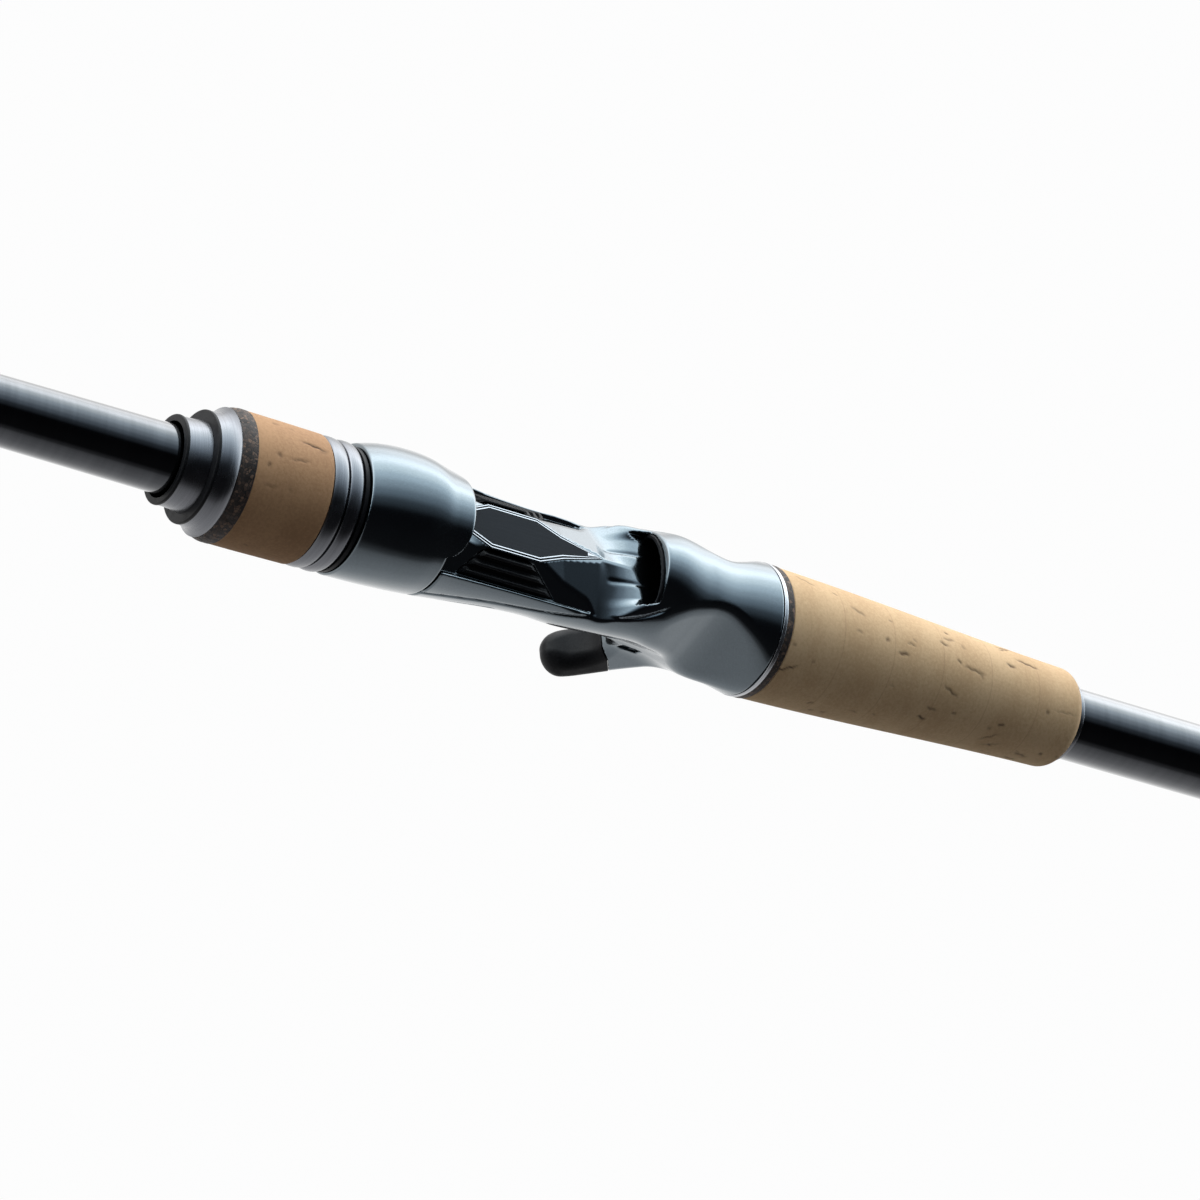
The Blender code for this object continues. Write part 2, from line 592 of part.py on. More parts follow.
def guide_places():
    """Where each guide stands along the blank, from the tip back, with its share of the way to the largest."""
    places, x, gap = [], TIP_X, FIRST_GAP
    for k in range(GUIDE_COUNT):
        x += gap
        places.append((x, k / (GUIDE_COUNT - 1)))
        gap *= GAP_GROWTH
    return places


def ring_about_x(name, x, height, inner, outer, half, material=None, parent=None, sides=20):
    """A flat-sided ring whose hole faces along the rod, its centre above the axis."""
    made = lathe(name, [(-half, inner), (half, inner), (half, outer), (-half, outer)], material, parent, sides)
    made.location = (x * MM, 0.0, height * MM)
    return made


def make_guides(parent, mats):
    """Each guide has a bent frame, a hard ring and the thread wrap that ties its foot down."""
    for k, (x, share) in enumerate(guide_places()):
        hole = GUIDE_R_TIP + (GUIDE_R_BUTT - GUIDE_R_TIP) * share**1.5
        rise = GUIDE_RISE_TIP + (GUIDE_RISE_BUTT - GUIDE_RISE_TIP) * share**1.5
        foot = 11.0 + 7.0 * share
        surface = blank_radius(x + foot)
        centre = surface + rise
        holder = hole + RING_THICK + GLUE
        ring_about_x(f"guide_{k + 1}_ring", x, centre, hole, hole + RING_THICK, RING_HALF, mats["ceramic"], parent)
        outer = holder + HOLDER_THICK
        frame = ring_about_x(f"guide_{k + 1}_frame", x, centre, holder, outer, HOLDER_HALF, mats["frame"], parent)
        low = surface + GLUE
        top = low + FOOT_THICK
        neck = centre - holder - HOLDER_THICK * 0.5
        outline = [
            (x + foot, low), (x + foot, low + 0.4), (x + 5, top), (x + 0.7, neck), (x - 0.7, neck), (x + 2.6, low),
        ]
        leg = slab(f"guide_{k + 1}_leg", outline, FOOT_WIDTH / 2)
        combine(frame, "UNION", leg)
        leg.location = (-x * MM, 0.0, -centre * MM)
        leg.parent = frame
        make_wrap(k, x + 5.4, x + foot - 0.5, surface, top, parent, mats)


def make_wrap(k, front, back, surface, top, parent, mats):
    """Thread wound round the blank and over a guide's foot."""
    inner = max(blank_radius(front), blank_radius(back)) + GLUE
    wrap = tube(f"guide_{k + 1}_wrap", front, back, inner, inner + WRAP_THICK, mats["wrap"], parent, 20)
    wide = FOOT_WIDTH / 2 + GLUE
    saddle = box(
        f"wrap_saddle_{k + 1}", (front, -wide - WRAP_THICK, inner * 0.8), (back, wide + WRAP_THICK, top + GLUE + WRAP_THICK)
    )
    combine(wrap, "UNION", saddle)
    hole = box(f"wrap_foot_cutter_{k + 1}", (front - 2, -wide, 0), (back + 2, wide, top + GLUE))
    core = rod(f"wrap_core_cutter_{k + 1}", front - 2, back + 2, inner, 20)
    combine(wrap, "DIFFERENCE", hole, core)


def make_tip_top(parent, mats):
    """The socket and ring on the very tip."""
    inner = blank_radius(TIP_X + SOCKET) + GLUE
    outer = inner + SOCKET_WALL
    holder = GUIDE_R_TIP + RING_THICK + GLUE
    centre = outer + holder + 0.6
    ring_x = TIP_X - 2.0
    ring_about_x("tip_top_ring", ring_x, centre, GUIDE_R_TIP, holder - GLUE, RING_HALF, mats["ceramic"], parent)
    frame = ring_about_x(
        "tip_top_frame", ring_x, centre, holder, holder + HOLDER_THICK, HOLDER_HALF, mats["frame"], parent
    )
    wall, back = TIP_X - GLUE, TIP_X + SOCKET
    profile = [
        (wall - PLUG, 0.0), (wall - PLUG, outer - PLUG / 2), (wall - PLUG / 2, outer), (back, outer), (back, inner),
        (wall, inner), (wall, 0.0),
    ]
    socket = lathe("tip_socket", profile, sides=16)
    low, high = outer - 0.8, centre - holder - 0.3
    bridge = box("tip_bridge", (ring_x - HOLDER_HALF + 0.2, -0.9, low), (wall - 0.2, 0.9, high))
    for piece in (socket, bridge):
        combine(frame, "UNION", piece)
        piece.parent = frame
        piece.location = (-ring_x * MM, 0.0, -centre * MM)


def main():
    clear_scene()
    mats = {
        "seat": finish("seat_gloss", (0.035, 0.045, 0.055), 0.12),
        "black": finish("soft_black", (0.012, 0.012, 0.013), 0.55),
        "satin": finish("satin_metal", (0.32, 0.33, 0.36), 0.32, 1.0),
        "alloy": finish("bright_alloy", (0.6, 0.6, 0.6), 0.4, 1.0),
        "cork": finish("cork", (0.62, 0.42, 0.25), 0.85),
        "burl": finish("burl_cork", (0.10, 0.06, 0.045), 0.8),
        "plate": finish("badge_black", (0.02, 0.024, 0.03), 0.3),
        "ceramic": finish("ring_ceramic", (0.03, 0.03, 0.033), 0.15),
        "frame": finish("guide_metal", (0.18, 0.18, 0.19), 0.3, 1.0),
        "wrap": finish("thread_wrap", (0.015, 0.015, 0.018), 0.2),
    }
    carbon = finish("blank_carbon", (0.012, 0.013, 0.016), 0.15)
    joints = {}
    for name in ("rod_body", "hood_slide", "nut_spin"):
        joints[name] = bpy.data.objects.new(name, None)
        bpy.context.scene.collection.objects.link(joints[name])
    joints["nut_spin"].parent = joints["hood_slide"]
    root = joints["rod_body"]
    make_blank(root, carbon, carbon)
    make_nut(joints["nut_spin"], mats)
    make_hood(joints["hood_slide"], mats)
    make_seat(root, mats)
    make_liner(root, mats)
    make_plate(root, mats)
    make_flanks(root, mats)
    make_pad(root, mats)
    make_rear_grip(root, mats)
    make_butt(root, mats)
    make_guides(root, mats)
    make_tip_top(root, mats)


main()
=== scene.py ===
# %% [markdown]
# # A trigger-grip casting rod, finished in Blender
#
# The imported CAD model fixes every size and every moving body of this rod. This lesson builds the
# surfaces that a viewer sees round it: a moulded reel seat with a sliding hood, turned metal rings,
# cork grips, a lacquered blank and its line guides. We start by loading that frame.

import math

import bpy
import numpy as np
from mathutils import Matrix, Vector


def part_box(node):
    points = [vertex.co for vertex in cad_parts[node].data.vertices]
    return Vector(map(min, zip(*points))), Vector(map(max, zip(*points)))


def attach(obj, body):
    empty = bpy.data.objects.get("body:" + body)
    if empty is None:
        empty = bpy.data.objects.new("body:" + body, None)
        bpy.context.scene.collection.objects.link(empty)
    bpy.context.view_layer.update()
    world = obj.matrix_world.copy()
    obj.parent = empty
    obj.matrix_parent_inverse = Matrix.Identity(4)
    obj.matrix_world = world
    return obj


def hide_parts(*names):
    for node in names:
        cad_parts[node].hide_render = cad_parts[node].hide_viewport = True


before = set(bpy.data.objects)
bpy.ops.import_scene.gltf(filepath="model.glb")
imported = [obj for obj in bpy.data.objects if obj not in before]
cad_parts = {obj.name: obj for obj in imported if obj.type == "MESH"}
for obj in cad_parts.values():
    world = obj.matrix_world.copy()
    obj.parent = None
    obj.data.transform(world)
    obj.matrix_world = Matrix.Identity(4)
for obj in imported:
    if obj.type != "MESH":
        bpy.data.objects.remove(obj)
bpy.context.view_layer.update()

# %% [markdown]
# ## Sizes shared by many pieces
#
# The rod lies along X with its tip towards -X, and its deck and guides face +Z. Sizes are written in
# millimetres, as a rod builder would, and are scaled once, when a mesh is made. The radii come from the
# CAD pieces themselves, so that each finished piece sits where its plain one sat.

# %% Sizes
MM = 0.001
AXIS_TOLERANCE = 1e-9


def cad(node):
    """Lowest and highest corner of a CAD piece, in millimetres."""
    low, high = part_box(node)
    return np.array(low) / MM, np.array(high) / MM


def radius_of(node):
    """Outer radius of a round CAD piece."""
    return float(cad(node)[1][1])


GAP = 0.3
BLANK_R = 6.9
BORE_R = 7.2
BARREL_R = 9.5
INSERT_R = 9.8
CORK_IN = 11.7
NUT_R = 12.95
FORE_R = 13.15
DECK_Z = 8.3
HOOD_FRONT, HOOD_SIDE, VISOR_END = 1.1, 20.0, 24.2
BODY_START, SEAT_END = 20.3, 97.2
DECK_END, LIP_X, LIP_RISE = 57.0, 68.0, 3.6
POCKET_HALF = 8.75
print("fore grip radius:", round(radius_of("fore_grip"), 2))
print("rear grip radius:", round(radius_of("rear_cork_disc_1"), 2))

# %% [markdown]
# ## A turned piece
#
# Rings, corks and tubes are turned on a lathe in the real rod, so a profile of (place, radius) points
# spun round the X axis gives them. Real edges are never knife sharp: each corner of the profile is
# replaced by a short arc first, and that arc is what catches a thin line of light.

# %% Turning tools
def rounded(profile, radii, steps=5):
    """Replaces each corner of a closed profile by an arc-like curve; a radius of 0 keeps the corner."""
    points = np.array(profile, float)
    if np.isscalar(radii):
        radii = [radii] * len(points)
    out = []
    for k, radius in enumerate(radii):
        here, before, after = points[k], points[k - 1], points[(k + 1) % len(points)]
        if radius == 0:
            out.append(tuple(here))
            continue
        back, ahead = before - here, after - here
        reach = min(radius, 0.45 * np.linalg.norm(back), 0.45 * np.linalg.norm(ahead))
        start = here + back / np.linalg.norm(back) * reach
        end = here + ahead / np.linalg.norm(ahead) * reach
        for t in np.linspace(0, 1, steps):
            out.append(tuple((1 - t) ** 2 * start + 2 * t * (1 - t) * here + t * t * end))
    return out


def swept_volume(mesh):
    """The volume a closed mesh holds; negative when its faces look inwards."""
    mesh.calc_loop_triangles()
    corners = np.array([[mesh.vertices[k].co for k in triangle.vertices] for triangle in mesh.loop_triangles])
    return np.einsum("ij,ij->i", corners[:, 0], np.cross(corners[:, 1], corners[:, 2])).sum() / 6


def piece(name, points, faces, finish, body, stands_for=(), slot=None, smooth=40.0):
    """Makes a mesh from points in millimetres, gives it a finish and lets it ride on a CAD body."""
    mesh = bpy.data.meshes.new(name)
    mesh.from_pydata([tuple(p) for p in np.asarray(points) * MM], [], faces)
    mesh.validate()
    if swept_volume(mesh) < 0:
        mesh.flip_normals()
    mesh.shade_smooth()
    if smooth:
        mesh.set_sharp_from_angle(angle=math.radians(smooth))
    made = bpy.data.objects.new(name, mesh)
    bpy.context.scene.collection.objects.link(made)
    mesh.materials.append(finish)
    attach(made, body)
    if stands_for:
        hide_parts(*stands_for)
    return made


def turned(name, profile, finish, body, stands_for=(), slot=None, sides=160,
           centre=(0.0, 0.0, 0.0), smooth=40.0):
    """Spins a closed profile of (x, radius) points about the rod's axis, or about a line beside it."""
    profile = np.array(profile, float)
    angles = np.linspace(0, math.tau, sides, endpoint=False)
    count = len(profile)
    rows = [
        np.stack([profile[:, 0], profile[:, 1] * math.sin(a), profile[:, 1] * math.cos(a)], 1) + centre
        for a in angles
    ]
    points = np.concatenate(rows)
    faces = []
    for s in range(sides):
        a, b = s * count, (s + 1) % sides * count
        faces += [(a + k, b + k, b + (k + 1) % count, a + (k + 1) % count) for k in range(count)]
    return piece(name, points, faces, finish, body, stands_for, slot, smooth)


def skinned(rings, close_ends=True):
    """Points and faces of a skin over rings that all have the same number of points."""
    count = len(rings[0])
    points = np.concatenate([np.array(r, float) for r in rings])
    faces = []
    for s in range(len(rings) - 1):
        a, b = s * count, (s + 1) * count
        faces += [(a + k, a + (k + 1) % count, b + (k + 1) % count, b + k) for k in range(count)]
    if close_ends:
        faces.append(tuple(range(count))[::-1])
        faces.append(tuple(range(len(points) - count, len(points))))
    return points, faces


# %% [markdown]
# ## Shader groups
#
# Several finishes share an effect: metal turned on a lathe has fine rings, and everything that is
# handled gets faint smudges. A node group built once and placed in each material keeps them alike. The
# groups give out masks and heights only; the Principled shader stays in each material.

# %% Group tools
def new_group(name, inputs, outputs):
    """A shader group with float inputs (name, default) and outputs (name, kind)."""
    group = bpy.data.node_groups.new(name, "ShaderNodeTree")
    for label, default in inputs:
        made = group.interface.new_socket(name=label, in_out="INPUT", socket_type="NodeSocketFloat")
        made.default_value = default
    for label, kind in outputs:
        group.interface.new_socket(name=label, in_out="OUTPUT", socket_type=kind)
    start = group.nodes.new("NodeGroupInput")
    end = group.nodes.new("NodeGroupOutput")
    return group, start, end


def node(tree, kind, settings=None, **inputs):
    """Adds a node; settings are its own properties, and inputs are values or sockets by name."""
    made = tree.nodes.new(kind)
    for key, value in (settings or {}).items():
        setattr(made, key, value)
    for key, value in inputs.items():
        socket = made.inputs[int(key[1:])] if key[0] == "_" else made.inputs[key.replace("_", " ")]
        if isinstance(value, bpy.types.NodeSocket):
            tree.links.new(value, socket)
        else:
            socket.default_value = value
    return made


def maths(tree, operation, *values):
    """A Math node's result."""
    numbered = {f"_{k}": value for k, value in enumerate(values)}
    return node(tree, "ShaderNodeMath", {"operation": operation}, **numbered).outputs[0]


def between(tree, value, low, high, out_low=0.0, out_high=1.0):
    """A smooth step from low to high."""
    made = node(
        tree, "ShaderNodeMapRange", {"interpolation_type": "SMOOTHSTEP"},
        Value=value, From_Min=low, From_Max=high, To_Min=out_low, To_Max=out_high,
    )
    return made.outputs[0]


def stretched(tree, along, around):
    """Object coordinates scaled by one number along the rod and another across it."""
    place = node(tree, "ShaderNodeTexCoord").outputs["Object"]
    scale = node(tree, "ShaderNodeCombineXYZ", X=along, Y=around, Z=around).outputs[0]
    return node(tree, "ShaderNodeVectorMath", {"operation": "MULTIPLY"}, _0=place, _1=scale).outputs[0]


def noise(tree, vector, scale, detail=3.0, roughness=0.5):
    """Fractal noise between about 0 and 1."""
    return node(
        tree, "ShaderNodeTexNoise", Vector=vector, Scale=scale, Detail=detail, Roughness=roughness
    ).outputs["Fac"]


# %% [markdown]
# ### Turned grain
#
# A cutting tool leaves rings round a turned part. Noise whose coordinates are stretched a lot along the
# rod and hardly at all across it gives such rings without a seam, because nothing unrolls the surface.

# %% Turned grain
grain_group, start, end = new_group(
    "turned_grain", [("Rings per mm", 8.0)], [("Line", "NodeSocketFloat"), ("Height", "NodeSocketFloat")]
)
per_metre = maths(grain_group, "DIVIDE", start.outputs["Rings per mm"], MM)
lines = noise(grain_group, stretched(grain_group, per_metre, 60.0), 1.0, 2.0, 0.6)
grain_group.links.new(between(grain_group, lines, 0.3, 0.7), end.inputs["Line"])
grain_group.links.new(lines, end.inputs["Height"])
print("group", grain_group.name, "has", len(grain_group.nodes), "nodes")

# %% [markdown]
# ### Handling marks
#
# Fingers leave soft smudges a few millimetres wide, and a cloth leaves hair-fine wipes. Both only change
# how sharp a reflection is, so the group gives one mask that each material adds to its roughness.

# %% Handling marks
marks_group, start, end = new_group(
    "handling_marks", [("Patch size mm", 12.0)], [("Smudge", "NodeSocketFloat"), ("Wipe", "NodeSocketFloat")]
)
patch = maths(marks_group, "DIVIDE", 1.0, maths(marks_group, "MULTIPLY", start.outputs["Patch size mm"], MM))
place = node(marks_group, "ShaderNodeTexCoord").outputs["Object"]
smudge = noise(marks_group, place, patch, 4.0, 0.6)
wipe = noise(marks_group, stretched(marks_group, 180.0, 2600.0), 1.0, 3.0, 0.7)
marks_group.links.new(between(marks_group, smudge, 0.42, 0.72), end.inputs["Smudge"])
marks_group.links.new(between(marks_group, wipe, 0.5, 0.75), end.inputs["Wipe"])
print("group", marks_group.name, "has", len(marks_group.nodes), "nodes")


# %% [markdown]
# ### A finish to build on
#
# Every material here is one Principled shader with plain numbers for what is the same all over, plus a
# few nodes for what changes. This helper makes the shader and leaves the rest to each finish.

# %% Material helper
def new_finish(name, colour, roughness, metallic=0.0, **plain):
    """A material, its node tree and its Principled shader."""
    made = bpy.data.materials.new(name)
    made.use_nodes = True
    tree = made.node_tree
    shader = tree.nodes["Principled BSDF"]
    shader.inputs["Base Color"].default_value = (*colour, 1.0)
    shader.inputs["Roughness"].default_value = roughness
    shader.inputs["Metallic"].default_value = metallic
    for key, value in plain.items():
        shader.inputs[key.replace("_", " ")].default_value = value
    made.diffuse_color = (*colour, 1.0)
    return made, tree, shader


def placed(tree, group, **inputs):
    """A copy of a shader group in a material."""
    made = tree.nodes.new("ShaderNodeGroup")
    made.node_tree = group
    for key, value in inputs.items():
        made.inputs[key.replace("_", " ")].default_value = value
    return made


def mixed(tree, fac, first, second):
    """A colour between two colours or sockets."""
    made = tree.nodes.new("ShaderNodeMix")
    made.data_type = "RGBA"
    for socket, value in ((made.inputs[0], fac), (made.inputs[6], first), (made.inputs[7], second)):
        if isinstance(value, bpy.types.NodeSocket):
            tree.links.new(value, socket)
        elif socket == made.inputs[0]:
            socket.default_value = value
        else:
            socket.default_value = (*value, 1.0)
    return made.outputs[2]


def roughen(tree, shader, base, mask, amount):
    """Roughness that rises with a mask."""
    made = node(tree, "ShaderNodeMath", {"operation": "MULTIPLY_ADD"}, _0=mask, _1=amount, _2=base)
    tree.links.new(made.outputs[0], shader.inputs["Roughness"])


def bumped(tree, shader, height, strength, distance_mm):
    """Feeds a height into the shader's normal."""
    made = node(tree, "ShaderNodeBump", Strength=strength, Distance=distance_mm * MM, Height=height)
    tree.links.new(made.outputs[0], shader.inputs["Normal"])


# %% [markdown]
# ### Gloss gunmetal for the reel seat
#
# The seat is a carbon-filled moulding under a dark metallic lacquer: nearly black when it mirrors a dark
# studio and blue-grey where it mirrors a lamp. A metallic base with a low colour does both, because it
# has no body colour of its own. Fine flake makes the reflection less than perfect.

# %% Reel seat finish
seat_gloss, tree, shader = new_finish(
    "seat_gloss", (0.14, 0.165, 0.18), 0.16, metallic=1.0, Coat_Weight=0.35, Coat_Roughness=0.04
)
marks = placed(tree, marks_group, Patch_size_mm=9.0)
flake = noise(tree, node(tree, "ShaderNodeTexCoord").outputs["Object"], 5200.0, 2.0, 0.6)
dark_flake = mixed(tree, between(tree, flake, 0.35, 0.7), (0.125, 0.149, 0.164), (0.152, 0.18, 0.2))
tree.links.new(dark_flake, shader.inputs["Base Color"])
roughen(tree, shader, 0.15, marks.outputs["Smudge"], 0.05)
bumped(tree, shader, flake, 0.06, 0.02)

# %% [markdown]
# ### Lacquered carbon for the blank
#
# A blank is carbon cloth rolled round a steel rod, baked, sanded and dipped in clear lacquer. Seen close,
# fine bands of the wrapping tape stay visible round it. The base is almost black and the coat does the
# shining.

# %% Blank finish
blank_carbon, tree, shader = new_finish(
    "blank_carbon", (0.05, 0.054, 0.062), 0.14, metallic=1.0, Coat_Weight=1.0, Coat_Roughness=0.03
)
tape = placed(tree, grain_group, Rings_per_mm=0.55)
marks = placed(tree, marks_group, Patch_size_mm=20.0)
cloth = mixed(tree, tape.outputs["Line"], (0.042, 0.046, 0.053), (0.058, 0.062, 0.07))
tree.links.new(cloth, shader.inputs["Base Color"])
roughen(tree, shader, 0.13, marks.outputs["Smudge"], 0.04)
bumped(tree, shader, tape.outputs["Height"], 0.05, 0.05)

# %% [markdown]
# ### Satin rings, bright alloy and guide frames
#
# The trim rings are aluminium, turned, then blasted and anodised grey. The turned grain group gives both
# a slight change of tone and a bump, so that a highlight breaks up round the ring.

# %% Metal finishes
def turned_metal(name, colour, roughness, rings, depth, **plain):
    """Anodised metal with grain from the lathe and faint handling marks."""
    made, tree, shader = new_finish(name, colour, roughness, metallic=1.0, **plain)
    grain = placed(tree, grain_group, Rings_per_mm=rings)
    marks = placed(tree, marks_group, Patch_size_mm=5.0)
    darker = tuple(0.82 * c for c in colour)
    tree.links.new(mixed(tree, grain.outputs["Line"], darker, colour), shader.inputs["Base Color"])
    roughen(tree, shader, roughness, marks.outputs["Smudge"], 0.08)
    bumped(tree, shader, grain.outputs["Height"], 0.25, depth)
    return made


satin_metal = turned_metal("satin_metal", (0.19, 0.195, 0.21), 0.24, 7.0, 0.01)
bright_alloy = turned_metal("bright_alloy", (0.62, 0.62, 0.63), 0.32, 5.0, 0.015)
guide_metal = turned_metal("guide_metal", (0.16, 0.162, 0.17), 0.24, 6.0, 0.005)
rim_metal = turned_metal("rim_metal", (0.5, 0.51, 0.53), 0.22, 9.0, 0.005)

# %% [markdown]
# ### Soft black rubber and hard ceramic
#
# The trigger pad and the ribbed flanks are a soft black polymer that hardly shines; the hood lining, painted
# shade in the fixed hood's pocket, uses it too. The ring in each guide is polished ceramic: black, very
# smooth and with a strong highlight.

# %% Black finishes
soft_black, tree, shader = new_finish("soft_black", (0.006, 0.006, 0.007), 0.5, Specular_IOR_Level=0.12)
marks = placed(tree, marks_group, Patch_size_mm=6.0)
skin_grain = noise(tree, node(tree, "ShaderNodeTexCoord").outputs["Object"], 2600.0, 3.0, 0.6)
tone = mixed(tree, between(tree, skin_grain, 0.3, 0.7), (0.005, 0.005, 0.006), (0.010, 0.010, 0.011))
tree.links.new(tone, shader.inputs["Base Color"])
roughen(tree, shader, 0.4, marks.outputs["Smudge"], 0.12)
bumped(tree, shader, skin_grain, 0.2, 0.05)

ring_ceramic, tree, shader = new_finish("ring_ceramic", (0.018, 0.018, 0.021), 0.08, Specular_IOR_Level=0.8)
marks = placed(tree, marks_group, Patch_size_mm=2.0)
roughen(tree, shader, 0.07, marks.outputs["Wipe"], 0.06)

# %% [markdown]
# ### Plate enamel
#
# The badge plate between the hoods is a black enamelled strip. It has no lettering here, only a fine
# brushed grain under the gloss and a bright arrow-like tip.

# %% Plate finish
badge_black, tree, shader = new_finish(
    "badge_black", (0.006, 0.009, 0.014), 0.34, Specular_IOR_Level=0.06
)
brushed = noise(tree, stretched(tree, 200.0, 6000.0), 1.0, 2.0, 0.6)
brushed_tone = mixed(tree, brushed, (0.006, 0.008, 0.011), (0.014, 0.017, 0.022))
tree.links.new(brushed_tone, shader.inputs["Base Color"])
bumped(tree, shader, brushed, 0.12, 0.02)

# %% [markdown]
# ### Cork
#
# Cork is bark. Its cells give a fine two-tone grain, its breathing pores leave dark pits and short creases
# that run the same way through a disc, and a glued grip shows a faint line where two discs meet. The
# group makes the tone and the height of that grain; the deeper pits are cut into the mesh later, and an
# attribute named pit tells the colour where they are.

# %% Cork grain group
cork_group, start, end = new_group(
    "cork_grain",
    [("Grain per mm", 1.6), ("Joint spacing mm", 13.2), ("Joint start mm", 100.0)],
    [("Tone", "NodeSocketFloat"), ("Fleck", "NodeSocketFloat"), ("Joint", "NodeSocketFloat"),
     ("Height", "NodeSocketFloat")],
)
place = node(cork_group, "ShaderNodeTexCoord").outputs["Object"]
fine_scale = maths(cork_group, "DIVIDE", start.outputs["Grain per mm"], MM)
cells = noise(cork_group, place, fine_scale, 5.0, 0.62)
clouds = noise(cork_group, stretched(cork_group, 120.0, 55.0), 1.0, 3.0, 0.55)
tone = maths(
    cork_group, "ADD",
    maths(cork_group, "MULTIPLY", cells, 0.55), maths(cork_group, "MULTIPLY", clouds, 0.45),
)
streaks = noise(cork_group, stretched(cork_group, 1900.0, 260.0), 1.0, 3.0, 0.6)
fleck = maths(
    cork_group, "MULTIPLY", between(cork_group, streaks, 0.62, 0.74), between(cork_group, cells, 0.4, 0.6),
)
along = node(cork_group, "ShaderNodeSeparateXYZ", Vector=place).outputs["X"]
along_mm = maths(
    cork_group, "SUBTRACT", maths(cork_group, "DIVIDE", along, MM), start.outputs["Joint start mm"],
)
wobble = maths(
    cork_group, "MULTIPLY", maths(cork_group, "SUBTRACT", noise(cork_group, place, 350.0), 0.5), 0.25,
)
folded = maths(
    cork_group, "PINGPONG", maths(cork_group, "ADD", along_mm, wobble),
    maths(cork_group, "MULTIPLY", start.outputs["Joint spacing mm"], 0.5),
)
joint = between(cork_group, folded, 0.05, 0.22, 1.0, 0.0)
height = maths(cork_group, "SUBTRACT", cells, maths(cork_group, "MULTIPLY", fleck, 0.7))
for label, result in (("Tone", tone), ("Fleck", fleck), ("Joint", joint), ("Height", height)):
    cork_group.links.new(result, end.inputs[label])
print("group", cork_group.name, "has", len(cork_group.nodes), "nodes")


# %% Cork finishes
def cork_finish(name, pale, deep, fleck_colour, spacing, begin, fleck_share, joint_share):
    """Cork between a pale and a deep tone, with flecks, disc joints and pits."""
    made, tree, shader = new_finish(name, pale, 0.72, Specular_IOR_Level=0.25)
    grain = placed(tree, cork_group, Joint_spacing_mm=spacing, Joint_start_mm=begin)
    body = mixed(tree, between(tree, grain.outputs["Tone"], 0.36, 0.64), deep, pale)
    fleck = maths(tree, "MULTIPLY", grain.outputs["Fleck"], fleck_share)
    body = mixed(tree, fleck, body, fleck_colour)
    joint = maths(tree, "MULTIPLY", grain.outputs["Joint"], joint_share)
    body = mixed(tree, joint, body, fleck_colour)
    pit = node(tree, "ShaderNodeAttribute", {"attribute_name": "pit"}).outputs["Fac"]
    body = mixed(tree, pit, body, tuple(0.22 * c for c in fleck_colour))
    tree.links.new(body, shader.inputs["Base Color"])
    roughen(tree, shader, 0.66, grain.outputs["Tone"], 0.2)
    bumped(tree, shader, grain.outputs["Height"], 0.3, 0.08)
    return made


rear_cork = cork_finish(
    "cork_pale", (0.60, 0.40, 0.225), (0.50, 0.315, 0.165), (0.26, 0.13, 0.06), 13.2, 99.7, 0.25, 0.22
)
fore_cork = cork_finish(
    "cork_warm", (0.42, 0.235, 0.12), (0.33, 0.175, 0.085), (0.14, 0.06, 0.028), 400.0, 200.0, 0.3, 0.0
)

# %% [markdown]
# ### Burl cork
#
# The dark band is made of cork crumbs pressed with black glue. Voronoi cells are a good model of packed
# crumbs: the cell's own random colour picks each crumb's brown, and the distance to its edge draws the
# glue.

# %% Burl finish
burl_cork, tree, shader = new_finish("burl_cork", (0.06, 0.035, 0.024), 0.62, Specular_IOR_Level=0.35)
place = node(tree, "ShaderNodeTexCoord").outputs["Object"]
crumbs = node(tree, "ShaderNodeTexVoronoi", Vector=place, Scale=1500.0, Randomness=1.0)
edges = node(
    tree, "ShaderNodeTexVoronoi", {"feature": "DISTANCE_TO_EDGE"}, Vector=place, Scale=1500.0, Randomness=1.0
)
pick = node(tree, "ShaderNodeSeparateColor", Color=crumbs.outputs["Color"]).outputs[0]
ramp = tree.nodes.new("ShaderNodeValToRGB")
for stop, colour in zip((0.0, 1.0), ((0.016, 0.011, 0.009), (0.15, 0.09, 0.06))):
    ramp.color_ramp.elements[int(stop)].position = stop
    ramp.color_ramp.elements[int(stop)].color = (*colour, 1.0)
middle = ramp.color_ramp.elements.new(0.6)
middle.color = (0.055, 0.034, 0.025, 1.0)
tree.links.new(pick, ramp.inputs[0])
glue = between(tree, edges.outputs["Distance"], 0.0, 0.12)
tree.links.new(mixed(tree, glue, (0.006, 0.005, 0.005), ramp.outputs[0]), shader.inputs["Base Color"])
bumped(tree, shader, glue, 0.35, 0.06)

# %% [markdown]
# ### Thread under epoxy
#
# Guides are tied on with nylon thread wound turn beside turn and flooded with clear epoxy. The turns
# are a wave along the rod, felt as a bump, under a smooth coat.

# %% Thread finish
thread_wrap, tree, shader = new_finish(
    "thread_wrap", (0.010, 0.011, 0.013), 0.35, Coat_Weight=1.0, Coat_Roughness=0.05
)
turns = node(
    tree, "ShaderNodeTexWave", {"bands_direction": "X"},
    Vector=node(tree, "ShaderNodeTexCoord").outputs["Object"], Scale=900.0, Distortion=0.4,
).outputs["Fac"]
tree.links.new(mixed(tree, turns, (0.006, 0.007, 0.008), (0.022, 0.024, 0.028)), shader.inputs["Base Color"])
bumped(tree, shader, turns, 0.25, 0.06)

